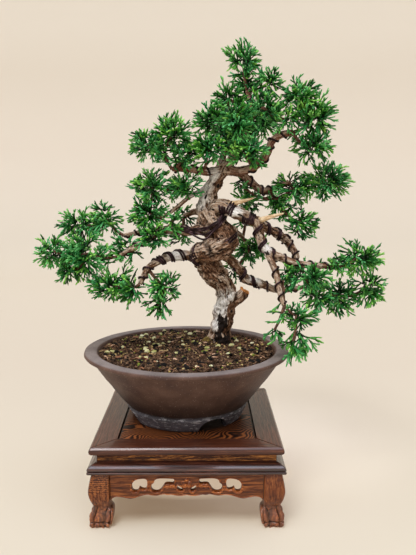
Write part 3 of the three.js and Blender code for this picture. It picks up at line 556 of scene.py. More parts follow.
def unglazed_stoneware(tree):
    """Fired clay with iron in it: rough and matt, a little mottled, with pale specks of grog. The wall is
    painted darker towards its lower half as painted shade, the flat top of the rim is cooler and paler,
    partly worn by hands and partly painted light on its upward face, and the grey foot ring has a thin pale
    deposit from watering. Inside the foot ring and under the pot it is painted nearly black as painted shade."""
    place = add(tree, "TexCoord", {}).outputs["Object"]
    height = add(tree, "SeparateXYZ", {"Vector": place}).outputs["Z"]
    clouds = add(tree, "TexNoise", {"Vector": place, "Scale": once_in(26), "Detail": 5, "Roughness": 0.6})
    sand = add(tree, "TexNoise", {"Vector": place, "Scale": once_in(1.6), "Detail": 3, "Roughness": 0.7})
    on_rim = add(tree, "MapRange", {"Value": height, "From Min": 165 * MM, "From Max": 165.8 * MM})
    on_foot = add(tree, "MapRange", {"Value": height, "From Min": 105.8 * MM, "From Max": 102.2 * MM})
    body = add(tree, "ValToRGB", {"Fac": clouds},
               stops=((0.35, "#483029"), (0.5, "#573D32"), (0.68, "#674C40")))
    # Painted shade: the wall is darkened towards its lower half, which faces down, away from the light.
    painted_shade_low_wall = add(tree, "MapRange", {"Value": height, "From Min": 100 * MM, "From Max": 145 * MM,
                                    "To Min": 0.15})
    wall = add(tree, "Mix", {"Factor": 1.0, "A": body, "B": painted_shade_low_wall}, data_type="RGBA", blend_type="MULTIPLY")
    # Partly painted light: the flat top of the rim is paler and cooler, partly worn by hands, partly as its
    # lit upward face.
    rim = add(tree, "ValToRGB", {"Fac": clouds}, stops=((0.35, "#6A5F5D"), (0.65, "#877B78")))
    with_rim = add(tree, "Mix", {"Factor": on_rim, "A": wall, "B": rim}, data_type="RGBA")
    foot = add(tree, "ValToRGB", {"Fac": clouds}, stops=((0.35, "#39353A"), (0.65, "#55525A")))
    with_foot = add(tree, "Mix", {"Factor": on_foot, "A": with_rim, "B": foot}, data_type="RGBA")
    drips = add(tree, "Mapping", {"Vector": place, "Scale": (once_in(7), once_in(7), once_in(2.2))})
    deposit = add(tree, "TexNoise", {"Vector": drips, "Scale": 1, "Detail": 4, "Roughness": 0.65})
    crust = add(tree, "MapRange", {"Value": deposit, "From Min": 0.53, "From Max": 0.64, "To Max": 0.75})
    crusted = add(tree, "Math", {0: crust, 1: on_foot}, operation="MULTIPLY")
    with_crust = add(tree, "Mix", {"Factor": crusted, "A": with_foot, "B": "#B4B2B8"}, data_type="RGBA")
    specks = add(tree, "TexVoronoi", {"Vector": place, "Scale": once_in(3.4)})
    speck = add(tree, "MapRange", {"Value": specks, "From Min": 0.16, "From Max": 0.1, "To Max": 0.4})
    with_specks = add(tree, "Mix", {"Factor": speck, "A": with_crust, "B": "#A39488"}, data_type="RGBA")
    # Painted shade: inside the foot ring and under the pot, seen through the arches, is painted nearly black.
    inside = add(tree, "MapRange", {"Value": off_pot_axis(tree, place), "From Min": 60 * MM,
                                    "From Max": 56 * MM})
    under = add(tree, "Math", {0: inside, 1: on_foot}, operation="MULTIPLY")
    with_painted_underside_shade = add(tree, "Mix", {"Factor": under, "A": with_specks, "B": "#0E0B0A"}, data_type="RGBA")
    grain = add(tree, "MapRange", {"Value": sand, "From Min": 0.3, "From Max": 0.7, "To Min": 0.82,
                                   "To Max": 1.12})
    colour = add(tree, "Mix", {"Factor": 1.0, "A": with_painted_underside_shade, "B": grain}, data_type="RGBA",
                 blend_type="MULTIPLY")
    relief = add(tree, "Bump", {"Strength": 0.5, "Distance": 0.4 * MM, "Height": sand})
    return add(tree, "BsdfPrincipled", {
        "Base Color": colour, "Roughness": 0.62, "IOR": 1.5, "Specular IOR Level": 0.4, "Normal": relief})


stoneware = material_of("unglazed iron stoneware", unglazed_stoneware)
pot_points, pot_faces = turned(corners_cut(POT_PROFILE, 2), 180)
around = np.arctan2(pot_points[:, 1], pot_points[:, 0])
reach = np.hypot(pot_points[:, 0], pot_points[:, 1])
on_wall = (reach > 66) * (pot_points[:, 2] < 157)
throwing = 0.16 * np.sin(pot_points[:, 2] * 1.15 + 0.5 * np.sin(around)) * on_wall
hand = np.array([noise.noise(Vector(p * 0.05)) for p in pot_points])
pot_points[:, :2] *= (1 + (throwing + hand * 0.5) / reach)[:, None]
pot_points[:, :2] += POT_AT
pot = piece_of("thrown_pot", pot_points, pot_faces, stoneware, 40)

# Each arch is cut by a block that starts under the foot ring and reaches through it.
share = np.linspace(0, 1, 13)[:, None]
arch_half = np.column_stack([ARCH["half_width"] * np.sqrt(1 - share ** 2.4), ARCH["height"] * share])
arch_half = np.vstack([[[ARCH["half_width"], -2]], arch_half])
arch_outline = np.vstack([arch_half, arch_half[-2::-1] * [-1, 1]])
for angle in ARCH["angles"]:
    out = np.array([math.cos(math.radians(angle)), math.sin(math.radians(angle))])
    right = np.array([-out[1], out[0]])
    rings = []
    for depth in (40, 80):
        flat = arch_outline[:, :1] * right + out * depth + POT_AT
        rings.append(np.column_stack([flat, arch_outline[:, 1] + POT_BASE]))
    cutter = piece_of("arch cutter", np.vstack(rings), skin(2, len(arch_outline)), stoneware)
    cut = pot.modifiers.new("arch", "BOOLEAN")
    cut.object = cutter
    cut.solver = "EXACT"
    pot.data = finished_mesh(pot)
    pot.modifiers.clear()
    bpy.data.objects.remove(cutter)
pot.data.shade_smooth()
pot.data.set_sharp_from_angle(angle=math.radians(40))
fit(pot, "stoneware", "pot")

# ---- Drain net ----------------------------------------------------------------------------------
# A square of moulded black polyethylene net lies over the drain hole and keeps the soil in. It is
# dull, and a little dusty from the soil.


def moulded_polyethylene(tree):
    """Black polyethylene, satin where it is clean and brown where soil has settled on it."""
    place = add(tree, "TexCoord", {}).outputs["Object"]
    dust = add(tree, "TexNoise", {"Vector": place, "Scale": once_in(4), "Detail": 4})
    colour = add(tree, "ValToRGB", {"Fac": dust}, stops=((0.4, "#1B1C1B"), (0.75, "#4A4038")))
    return add(tree, "BsdfPrincipled", {"Base Color": colour, "Roughness": 0.55, "IOR": 1.5})


dress("drain_net", material_of("moulded polyethylene net", moulded_polyethylene), 0.2)

# ---- Soil ---------------------------------------------------------------------------------------
# A free-draining mix fills the pot to just under the rim and rises a little to the trunk. It is dark
# fired clay crumbs with pumice pebbles, bark chips, charcoal, bits of moss and dry fallen shoots.
SOIL = {"edge": 162.6, "middle": 165.4, "mound": 3.4, "radius": 102}
SOIL_SIDES = 120
soil_turn = np.linspace(0, 2 * math.pi, SOIL_SIDES, endpoint=False)


def soil_height(x, y):
    """The top of the soil above a spot, in millimetres, with the low heap of moss left of the trunk."""
    off = np.hypot(x - POT_AT[0], y - POT_AT[1]) / SOIL["radius"]
    heap = 4.5 * np.exp(-((x + 4) ** 2 + (y - 14) ** 2) / 130)
    return SOIL["edge"] + SOIL["mound"] * (1 - np.clip(off, 0, 1) ** 2) + heap


def crumbled(tree, dark, middle, light, grain):
    """Loose grains, each with its own tint, rough and dry. Grain is the size in millimetres of the
    mottle on each of them."""
    place = add(tree, "TexCoord", {}).outputs["Object"]
    own = add(tree, "NewGeometry", {}).outputs["Random Per Island"]
    mottle = add(tree, "TexNoise", {"Vector": place, "Scale": once_in(grain), "Detail": 4, "Roughness": 0.7})
    both = add(tree, "Mix", {"Factor": 0.5, "A": own, "B": mottle}, data_type="FLOAT")
    colour = add(tree, "ValToRGB", {"Fac": both}, stops=((0.25, dark), (0.5, middle), (0.78, light)))
    relief = add(tree, "Bump", {"Strength": 0.6, "Distance": 0.4 * MM, "Height": mottle})
    return add(tree, "BsdfPrincipled", {"Base Color": colour, "Roughness": 0.9, "IOR": 1.45,
                                        "Specular IOR Level": 0.25, "Normal": relief})


def pebble_shape(rounds):
    """Vertices and triangles of a ball of unit radius."""
    ball = bmesh.new()
    bmesh.ops.create_icosphere(ball, subdivisions=rounds, radius=1)
    vertices = np.array([v.co for v in ball.verts])
    faces = np.array([[v.index for v in f.verts] for f in ball.faces])
    ball.free()
    return vertices, faces


def scattered(draw, spots, sizes, proportions, rounds, roughness):
    """Many small lumps at spots, each of its own size, turn and dented shape."""
    ball, faces = pebble_shape(rounds)
    count = len(spots)
    dents = 1 + draw.normal(0, roughness, (count, len(ball)))
    lumps = ball[None] * dents[:, :, None] * np.asarray(proportions)[None, None] * sizes[:, None, None] / 2
    lying = np.empty((count, 3, 3))
    flat_turn = draw.uniform(0, 2 * math.pi, count)
    tilt = draw.normal(0, 0.35, count)
    lying[:, 0] = np.column_stack([np.cos(flat_turn), np.sin(flat_turn), np.zeros(count)])
    lying[:, 1] = np.column_stack([-np.sin(flat_turn) * np.cos(tilt), np.cos(flat_turn) * np.cos(tilt),
                                   np.sin(tilt)])
    lying[:, 2] = np.cross(lying[:, 0], lying[:, 1])
    placed = np.einsum("nvk,nkj->nvj", lumps, lying) + spots[:, None]
    all_faces = faces[None] + (np.arange(count) * len(ball))[:, None, None]
    return placed.reshape(-1, 3), all_faces.reshape(-1, 3).tolist()


def spots_on_soil(draw, count, rise, reach):
    """Random spots on the soil. Rise is how far the middle of a lump stands above it."""
    off = reach * np.sqrt(draw.uniform(0, 1, count))
    turn = draw.uniform(0, 2 * math.pi, count)
    x, y = POT_AT[0] + off * np.cos(turn), POT_AT[1] + off * np.sin(turn)
    return np.column_stack([x, y, soil_height(x, y) + rise * draw.uniform(0.2, 1, count)])


def soil_ring(radius, height):
    """One ring of points on the soil, all at one height or each at its own."""
    return np.column_stack([POT_AT[0] + radius * np.cos(soil_turn), POT_AT[1] + radius * np.sin(soil_turn),
                            np.broadcast_to(height, SOIL_SIDES)])


# The body of the soil is rings from the middle of its top to its edge, then down inside the pot.
soil_draw = np.random.default_rng(3)
rings = []
for part in np.linspace(0, 1, 46)[1:]:
    flat = soil_ring(SOIL["radius"] * part, 0)
    height = soil_height(flat[:, 0], flat[:, 1]) + soil_draw.normal(0, 0.5, SOIL_SIDES) - 0.8
    rings.append(soil_ring(SOIL["radius"] * part, height))
rings += [soil_ring(99.2, 156.6), soil_ring(66, 108.6)]
soil_points = np.vstack([*rings, [[*POT_AT, SOIL["middle"]]]])
soil_skin = [face[::-1] for face in skin(len(rings), SOIL_SIDES)]
soil_fan = [[len(rings) * SOIL_SIDES, i, (i + 1) % SOIL_SIDES] for i in range(SOIL_SIDES)]
soil_faces = soil_skin[:-2] + soil_fan + soil_skin[-1:]
crumb_count = 3300
crumb_spots = spots_on_soil(soil_draw, crumb_count, 0.6, 99)
crumbs = scattered(soil_draw, crumb_spots, soil_draw.uniform(2.0, 5.6, crumb_count), (1.15, 1, 0.8), 1, 0.16)
fired_clay = material_of("fired clay crumbs", crumbled, "#0D0805", "#3F2A1C", "#80624A", 1.4)
soil = piece_of("soil_mix", *joined([(soil_points, soil_faces), crumbs]), fired_clay, 20)
fit(soil, "soil", "soil")

# For each kind: how many, sizes, proportions, rounds of the ball, dents, rise and colours.
SOIL_EXTRAS = {
    "pumice_pebbles": (44, (3.2, 6.4), (1.2, 1, 0.75), 2, 0.1, 2.2, ("#8E8E48", "#CFCB94", "#F0EBCC")),
    "yellow_gravel": (150, (1.6, 3.2), (1.2, 1, 0.8), 1, 0.16, 1.6, ("#7C6430", "#C4A869", "#E6D7A4")),
    "bark_chips": (190, (4, 10), (1, 0.42, 0.2), 1, 0.16, 2.2, ("#4A2C1A", "#94664A", "#D8B496")),
    "charcoal_bits": (170, (3, 6.5), (1.2, 1, 0.7), 1, 0.16, 1.8, ("#030303", "#0E0C0B", "#221C18")),
    "moss_bits": (110, (1.4, 3.2), (1.1, 1, 0.8), 1, 0.2, 1.8, ("#3E4A18", "#79862E", "#B4C25A")),
    "fallen_shoots": (110, (5, 13), (1, 0.1, 0.1), 1, 0.1, 2.2, ("#6E4A28", "#B08C58", "#DEC596")),
}
for k, (name, (count, size, proportions, rounds, dents, rise, colours)) in enumerate(SOIL_EXTRAS.items()):
    draw = np.random.default_rng(20 + k)
    spots = spots_on_soil(draw, count, rise, 96)
    lumps = scattered(draw, spots, draw.uniform(*size, count), proportions, rounds, dents)
    extra = piece_of(name, *lumps, material_of(name.replace("_", " "), crumbled, *colours, 1.1), 30)
    fit(extra, "soil")

# ---- Trunk and branches -------------------------------------------------------------------------
# A living juniper, wired and bent when young, so that the trunk turns back on itself in a roll and a
# burl. Grey bark flakes off in plates over brown fissures, and two dead stubs are peeled to pale wood.
# Each limb is a run of [x, y, z, radius] in millimetres along its middle.
LIMBS = {
    "foot": [[6, 24, 140, 10], [8, 24, 156, 14], [11, 22, 170, 13.6], [13, 21, 184, 12], [17, 19, 205, 11.4],
             [19, 17, 222, 11], [13, 13, 240, 12], [1, 9, 254, 13.2], [-9, 5, 268, 12.5]],
    "roll": [[-17, 6, 272, 9], [-9, -1, 276, 12.3], [4, -4, 280, 12.8], [16, 0, 284, 12.4], [22, 7, 291, 9]],
    "burl": [[23, 7, 280, 9], [16, 8, 292, 14.6], [8, 11, 302, 16], [-1, 15, 313, 15], [-4, 19, 326, 11.4],
             [-2, 21, 341, 9.6], [3, 21, 353, 9], [9, 19, 364, 8.2], [15, 18, 374, 6.6]],
    "leader": [[13, 18, 368, 6.6], [25, 16, 383, 5.2], [36, 11, 404, 4], [44, 9, 426, 3.3], [45, 9, 443, 2.8],
               [40, 11, 458, 2.2]],
    "crown_right": [[17, 17, 371, 5.6], [34, 13, 369, 4.7], [52, 7, 375, 4.1], [64, 3, 389, 3.8],
                    [68, 1, 401, 3.8], [77, -1, 408, 3.8], [90, -1, 411, 3.1]],
    "middle_right": [[17, 19, 370, 5.6], [34, 27, 367, 4.8], [47, 31, 357, 4.5], [62, 33, 346, 4.3],
                     [76, 33, 350, 3.4], [92, 31, 357, 2.6]],
    "crown_left": [[13, 17, 370, 5.6], [-4, 13, 368, 4.5], [-25, 5, 371, 3.6], [-44, 0, 371, 2.7]],
    "thin_left": [[-4, 19, 350, 2.9], [-24, 15, 340, 2.3], [-40, 11, 327, 2.1], [-56, 7, 316, 1.8]],
    "upper_left": [[-10, 11, 303, 6.2], [-26, 3, 301, 5.2], [-44, 1, 303, 4.8], [-58, -1, 301, 4.2],
                   [-72, -5, 293, 3.6], [-84, -7, 285, 3.2], [-102, -12, 274, 2.7]],
    "far_left": [[-54, 1, 303, 3.4], [-70, 13, 301, 2.9], [-85, 19, 298, 2.7], [-102, 25, 294, 2.4]],
    "lower_left": [[-13, 7, 271, 6.2], [-32, 1, 273, 5.4], [-47, -5, 272, 4.8], [-57, -11, 269, 4],
                   [-69, -15, 262, 3.6], [-76, -17, 251, 3.2], [-80, -19, 243, 2.6]],
    "main_right": [[0, 18, 322, 9], [13, 7, 329, 7.8], [26, 1, 323, 7.4], [40, -3, 317, 7.2],
                   [51, -5, 311, 6.6],
                   [55, -7, 298, 5], [59, -9, 285, 4.6], [69, -11, 276, 4.6], [82, -13, 271, 4.3],
                   [95, -15, 266, 3.9], [111, -17, 264, 3.5], [127, -17, 263, 3], [142, -15, 261, 2.5]],
    "arched_right": [[49, -3, 312, 4.8], [62, 9, 305, 5], [76, 15, 298, 4.9], [87, 17, 290, 4.7],
                     [96, 15, 279, 4.2], [100, 9, 268, 3.2]],
    "hanging_right": [[60, -9, 284, 4.1], [68, -15, 268, 3.6], [73, -20, 255, 3.6], [75, -27, 242, 3.2],
                      [77, -34, 231, 2.7], [80, -40, 222, 2.2]],
    "lower_right": [[14, 9, 274, 6.2], [27, 19, 262, 5.5], [36, 25, 251, 5.5], [44, 27, 241, 5.3],
                    [58, 27, 237, 4.7], [68, 27, 233, 4.2], [79, 27, 229, 3.6], [95, 25, 230, 3],
                    [109, 23, 233, 2.4]],
    "back_branch": [[2, 18, 300, 6], [12, 36, 304, 4.6], [26, 50, 300, 3.4], [40, 58, 290, 2.4]],
    "back_crown": [[10, 18, 366, 5.4], [12, 34, 378, 4.2], [18, 48, 396, 3]],
    "back_left": [[-4, 18, 318, 5], [-18, 32, 322, 3.6], [-32, 42, 316, 2.6]],
    "sawn_stub": [[19, 17, 211, 7], [30, 19, 218, 7.2], [37, 19, 224, 6.8], [41, 19, 230, 6.4]],
    "peeled_stub_upper": [[18, 2, 331, 3], [35, -1, 335, 2.4], [49, -3, 339, 0.8]],
    "peeled_stub_lower": [[46, -5, 311, 3.8], [64, -9, 317, 2.8], [81, -13, 322, 1.2]],
    "root_left": [[8, 22, 172, 9], [-5, 15, 166, 6.5], [-18, 8, 160, 4]],
    "root_right": [[14, 22, 168, 8], [28, 16, 161, 5], [38, 10, 156, 3]],
    "root_back": [[12, 26, 168, 8], [14, 40, 161, 5], [12, 52, 156, 3]],
}
PEELED = ("peeled_stub_upper", "peeled_stub_lower")
WOOD_GRAIN = 0.95  # size of the cubes that the limbs are merged with
WHOLE_SHARE = 0.36  # share of the trunk that still has its grey bark


def limb_line(name, per_span=6):
    """The smooth middle line of a limb and its radius along it."""
    line = smooth_line(LIMBS[name], per_span)
    return line[:, :3], line[:, 3]


def merged(parts, grain, rounds):
    """Overlapping closed shapes as one smooth skin, in millimetres."""
    rough = piece_of("rough wood", *joined(parts), fired_clay)
    remesh = rough.modifiers.new("one skin", "REMESH")
    remesh.mode = "VOXEL"
    remesh.voxel_size = grain * MM
    smooth = rough.modifiers.new("worn", "SMOOTH")
    smooth.iterations = rounds
    smooth.factor = 0.5
    mesh = finished_mesh(rough)
    vertices = np.empty(len(mesh.vertices) * 3)
    mesh.vertices.foreach_get("co", vertices)
    normals = np.empty(len(mesh.vertices) * 3)
    mesh.vertex_normals.foreach_get("vector", normals)
    faces = [list(polygon.vertices) for polygon in mesh.polygons]
    bpy.data.objects.remove(rough)
    return vertices.reshape(-1, 3) / MM, normals.reshape(-1, 3), faces


def walked_along(line):
    """How far along a line each of its points lies."""
    return np.concatenate([[0], np.cumsum(np.linalg.norm(np.diff(line, axis=0), axis=1))])


limb_parts = []
for name in LIMBS:
    line, radii = limb_line(name)
    bark_thick = 0 if name in PEELED else 0.35
    limb_parts.append(tube(line, radii + bark_thick, 14))
wood_points, wood_normals, wood_faces = merged(limb_parts, WOOD_GRAIN, 3)

# The nearest limb gives each point of the bark its place along and round that limb.
tracks = []
for number, name in enumerate(LIMBS):
    line, radii = limb_line(name)
    along, across, upright = travelling_axes(line)
    tracks.append({"at": line, "radius": radii, "walked": walked_along(line), "along": along,
                   "across": across, "upright": upright, "limb": np.full(len(line), number)})
tracks = {key: np.concatenate([track[key] for track in tracks]) for key in tracks[0]}
nearest = np.concatenate([
    np.argmin(np.linalg.norm(some[:, None] - tracks["at"][None], axis=2) - tracks["radius"][None], axis=1)
    for some in np.array_split(wood_points, 60)])
off = wood_points - tracks["at"][nearest]
walked = tracks["walked"][nearest] + np.einsum("ij,ij->i", off, tracks["along"][nearest])
limb_of = tracks["limb"][nearest]
thick = tracks["radius"][nearest]
grain_place = np.column_stack([
    np.einsum("ij,ij->i", off, tracks["across"][nearest]) + limb_of * 31,
    np.einsum("ij,ij->i", off, tracks["upright"][nearest]),
    walked])


def along_grain(place, width, length, octaves, seed):
    """Noise that is stretched along the limb, from -1 to 1."""
    return np.array([noise.fractal(Vector((x / width + seed, y / width, z / length)), 0.6, 2.1, octaves)
                     for x, y, z in place])


def flake_edges(place, width, length):
    """How far each point is from the edge of its bark plate: 0 on a crack, up to about 1 in the middle."""
    gaps = []
    for x, y, z in place:
        nearest_two = noise.voronoi(Vector((x / width, y / width, z / length)))[0]
        gaps.append(nearest_two[1] - nearest_two[0])
    return np.array(gaps)


def near(points, spots):
    """How near each point is to any of some spots of [x, y, z, reach], from 0 to 1."""
    shares = [np.clip(1.6 - 1.6 * np.linalg.norm(points - spot[:3], axis=1) / spot[3], 0, 1)
              for spot in spots]
    return np.max(shares, axis=0)


smooth_bark = near(wood_points, [[12, 8, 212, 19], [6, 8, 192, 15], [18, 8, 226, 13], [-15, 8, 338, 17],
                                 [-8, 10, 352, 14], [2, 10, 364, 12], [28, -7, 325, 12], [62, -12, 284, 10],
                                 [-40, -4, 275, 14], [52, 26, 243, 12]])
scar = smooth_line([[15, 8, 197], [12, 7, 188], [8, 7, 178], [6, 6, 168], [10, 7, 163]], 3)
dead_bark = near(wood_points, [[*spot, 9] for spot in scar] + [[19, 8, 172, 12], [24, 11, 168, 9]])
dead_bark = np.clip(dead_bark + 0.9 * along_grain(grain_place, 4, 13, 3, 70) - 0.1, 0, 1)
mossy_bark = near(wood_points, [[-9, 12, 168, 14]])
cleft = smooth_line([[-10, -10, 293], [-6, -13, 288], [-3, -14, 283], [-1, -15, 278], [1, -15, 273]], 4)
crevice = near(wood_points, [[*spot, 4.6] for spot in cleft])
stub_end, stub_way = np.array([41, 19, 230]), np.array([4, 0, 6]) / 7.21
past_cut = (wood_points - stub_end) @ stub_way
sawn_end = np.clip((past_cut + 2) / 0.8, 0, 1) * (limb_of == list(LIMBS).index("sawn_stub"))
young_bark = np.clip((6.4 - thick) / 2.6, 0, 1) * np.clip((wood_points[:, 2] - 330) / 30, 0, 1)

# Whole bark stands out over the brown bast where plates have dropped off, with cracks at their edges. It lies
# mostly on the side that faces the key light, as painted light, so that side is paler and the side away from
# it browner. Under it are lumps where old shoots were cut from the trunk.
is_peeled = np.isin(limb_of, [list(LIMBS).index(name) for name in PEELED])
bend_place = grain_place + along_grain(grain_place, 8, 18, 2, 90)[:, None] * [3, 3, 6]
lumps = np.array([noise.fractal(Vector(p / 11), 0.7, 2.0, 3) for p in wood_points])
rough_bark = near(wood_points, [[22, 20, 238, 18], [0, 2, 258, 15], [-8, -4, 272, 14], [14, -6, 282, 14],
                                [12, -4, 300, 15], [26, 12, 208, 12], [-14, 8, 262, 12]])
painted_light_side = wood_normals @ [-0.62, -0.3, 0.72]
plates = along_grain(bend_place, 6, 30, 4, 12) * 0.55 + lumps * 0.4 + 0.5 * smooth_bark - 0.8 * rough_bark
# Painted light: bark that faces the key light is made whole and pale.
plates += 0.5 * painted_light_side
level = np.quantile(plates, 1 - WHOLE_SHARE)
whole_bark_and_painted_light = np.clip((plates - level) / 0.3 + 0.5, 0, 1)
splits = np.clip(1 - flake_edges(bend_place, 4, 26) / 0.09, 0, 1)
splits = splits * np.clip(along_grain(grain_place, 12, 20, 2, 55) * 3, 0, 1)
broken = np.clip(along_grain(grain_place, 6, 14, 2, 33) * 3 + 0.4, 0, 1)
curled = np.exp(-(along_grain(bend_place, 7, 17, 3, 77) / 0.08) ** 2) * np.clip(broken + 0.2, 0, 1)
cracks = np.maximum(np.exp(-((plates - level + 0.05) / 0.05) ** 2) * broken, splits)
cracks = np.maximum(cracks, curled * (1 - 0.5 * smooth_bark))
fibres = along_grain(grain_place, 1.5, 9, 3, 40)
old = np.clip((thick - 3.5) / 6, 0, 1)
swell = np.clip((thick - 1.5) / 7, 0.12, 1)
barked = whole_bark_and_painted_light * 1.3 - cracks * 1.2 + fibres * (0.8 - 0.55 * whole_bark_and_painted_light) - 0.5
relief = np.where(is_peeled, fibres * 0.8, barked)
wood_points = wood_points + wood_normals * (relief * swell + lumps * old * 2.6 - crevice * 4)[:, None]


def flaking_bark(tree):
    """Old juniper bark: grey-beige where it is whole, brown and stringy where it has flaked, nearly black
    where the wood under it died, reddish on the young limbs of the crown. Moss stains it near the soil. Its
    hollows are darkened as painted shade, less where the bark is pale and smooth, and the cleft between the
    roll and the burl is painted dark as painted shade. Dry and rough."""

    def mark(name):
        """A number that each point of the bark carries."""
        return add(tree, "Attribute", {}, attribute_name=name).outputs["Fac"]

    grain = add(tree, "Attribute", {}, attribute_name="grain").outputs["Vector"]
    # The grain attribute is in millimetres, so a pattern that comes once in 9 of them has scale 1 / 9.
    strings = add(tree, "Mapping", {"Vector": grain, "Scale": (1 / 1.3, 1 / 1.3, 1 / 9)})
    string = add(tree, "TexNoise", {"Vector": strings, "Scale": 1, "Detail": 5, "Roughness": 0.7,
                                    "Distortion": 0.4})
    flakes = add(tree, "Mapping", {"Vector": grain, "Scale": (1 / 6, 1 / 6, 1 / 10)})
    flake = add(tree, "TexNoise", {"Vector": flakes, "Scale": 1, "Detail": 6, "Roughness": 0.65,
                                   "Distortion": 1.2})
    worn = add(tree, "ValToRGB", {"Fac": string},
               stops=((0.28, "#5A412D"), (0.44, "#9C7E66"), (0.62, "#CDBEAF")))
    pale = add(tree, "ValToRGB", {"Fac": string},
               stops=((0.28, "#8A7C72"), (0.4, "#CCC6C0"), (0.58, "#F2F0EE")))
    whole = add(tree, "Mix", {"Factor": mark("smooth_bark"), "A": worn, "B": pale}, data_type="RGBA")
    patchy = add(tree, "Mix", {"Factor": 0.5, "A": string, "B": flake}, data_type="FLOAT")
    torn = add(tree, "ValToRGB", {"Fac": patchy},
               stops=((0.38, "#180B06"), (0.5, "#6E4B34"), (0.62, "#BC9A80")))
    wholeness = add(tree, "Math", {0: mark("whole_bark_and_painted_light"), 1: 0.36, 2: flake}, operation="MULTIPLY_ADD")
    kept = add(tree, "MapRange", {"Value": wholeness, "From Min": 0.55, "From Max": 0.85})
    bark_colour = add(tree, "Mix", {"Factor": kept, "A": torn, "B": whole}, data_type="RGBA")
    crack = add(tree, "MapRange", {"Value": mark("cracks"), "From Min": 0.35, "From Max": 0.9,
                                   "To Max": 0.95})
    cracked = add(tree, "Mix", {"Factor": crack, "A": bark_colour, "B": "#1C0E08"}, data_type="RGBA")
    young = add(tree, "ValToRGB", {"Fac": string},
                stops=((0.34, "#2E1910"), (0.52, "#7B4E3A"), (0.7, "#C09A84")))
    half_kept = add(tree, "Math", {0: kept, 1: 0.55}, operation="MULTIPLY")
    weathered = add(tree, "Mix", {"Factor": half_kept, "A": young, "B": whole}, data_type="RGBA")
    aged = add(tree, "Mix", {"Factor": mark("young_bark"), "A": cracked, "B": weathered}, data_type="RGBA")
    dead = add(tree, "ValToRGB", {"Fac": string},
               stops=((0.35, "#070504"), (0.58, "#231711"), (0.75, "#6A4632")))
    dead_edge = add(tree, "Math", {0: mark("dead_bark"), 1: flake}, operation="ADD")
    dead_share = add(tree, "MapRange", {"Value": dead_edge, "From Min": 0.9, "From Max": 1.04})
    with_dead = add(tree, "Mix", {"Factor": dead_share, "A": aged, "B": dead}, data_type="RGBA")
    moss = add(tree, "ValToRGB", {"Fac": string},
               stops=((0.35, "#2E2010"), (0.55, "#6B5626"), (0.72, "#8F8A3E")))
    moss_edge = add(tree, "Math", {0: mark("mossy_bark"), 1: flake}, operation="ADD")
    moss_share = add(tree, "MapRange", {"Value": moss_edge, "From Min": 0.85, "From Max": 1.1})
    with_moss = add(tree, "Mix", {"Factor": moss_share, "A": with_dead, "B": moss}, data_type="RGBA")
    # Painted shade: the cleft between the roll and the burl is painted near black, over its real hollow.
    painted_hollow_shade = add(tree, "MapRange", {"Value": mark("crevice"), "From Min": 0.1, "From Max": 0.9,
                                    "To Max": 0.55})
    with_painted_crevice_shade = add(tree, "Mix", {"Factor": painted_hollow_shade, "A": with_moss, "B": "#1A0E09"}, data_type="RGBA")
    cut_edge = add(tree, "MapRange", {"Value": mark("sawn_end"), "From Min": 0.3, "From Max": 0.6})
    with_cut = add(tree, "Mix", {"Factor": cut_edge, "A": with_painted_crevice_shade, "B": "#C98448"}, data_type="RGBA")
    peeled = add(tree, "ValToRGB", {"Fac": string},
                 stops=((0.33, "#9A7048"), (0.5, "#D6B78F"), (0.66, "#F0E0C6")))
    colour = add(tree, "Mix", {"Factor": mark("peeled"), "A": with_cut, "B": peeled}, data_type="RGBA")
    # Painted shade: hollows found by pointiness are darkened, less on pale smooth bark, and raised parts are
    # a touch lighter.
    painted_cavity_shade = add(tree, "MapRange", {"Value": add(tree, "NewGeometry", {}).outputs["Pointiness"],
                                    "From Min": 0.45, "From Max": 0.52, "To Min": 0.28, "To Max": 1.12})
    painted_shade_share = add(tree, "Math", {0: mark("smooth_bark"), 1: -0.7, 2: 1.0}, operation="MULTIPLY_ADD")
    with_cavity_shade = add(tree, "Mix", {"Factor": painted_shade_share, "A": colour, "B": painted_cavity_shade}, data_type="RGBA",
                    blend_type="MULTIPLY")
    fibre_relief = add(tree, "Bump", {"Strength": 0.9, "Distance": 0.8 * MM, "Height": string})
    return add(tree, "BsdfPrincipled", {
        "Base Color": with_cavity_shade, "Roughness": 0.75, "IOR": 1.45, "Specular IOR Level": 0.25,
        "Normal": fibre_relief})


def set_mark(piece, name, values):
    """Gives each point of a piece a number that its material can read."""
    data = piece.data.attributes.new(name, "FLOAT", "POINT").data
    data.foreach_set("value", np.asarray(values, float))


bark = material_of("flaking juniper bark", flaking_bark)
wood = piece_of("trunk_with_bark", wood_points, wood_faces, bark)
bark_marks = {"whole_bark_and_painted_light": whole_bark_and_painted_light, "smooth_bark": smooth_bark, "cracks": cracks,
              "dead_bark": dead_bark, "mossy_bark": mossy_bark, "young_bark": young_bark,
              "sawn_end": sawn_end, "crevice": crevice, "peeled": is_peeled}
for mark, values in bark_marks.items():
    set_mark(wood, mark, values)
wood.data.attributes.new("grain", "FLOAT_VECTOR", "POINT").data.foreach_set("vector", grain_place.ravel())
fit(wood, "bark", "trunk_and_branches")
bark_surface = BVHTree.FromPolygons(wood_points.tolist(), wood_faces)

# ---- Training wire ------------------------------------------------------------------------------
# Soft anodised aluminium wire, 2.4 mm thick, holds each limb in its bend. It is wound on by hand, so
# the turns lean and their spacing varies. The anodising is dark brown with a satin shine.
WIRE = {"radius": 1.2, "steps": 24, "sides": 8, "strand": 2.7}
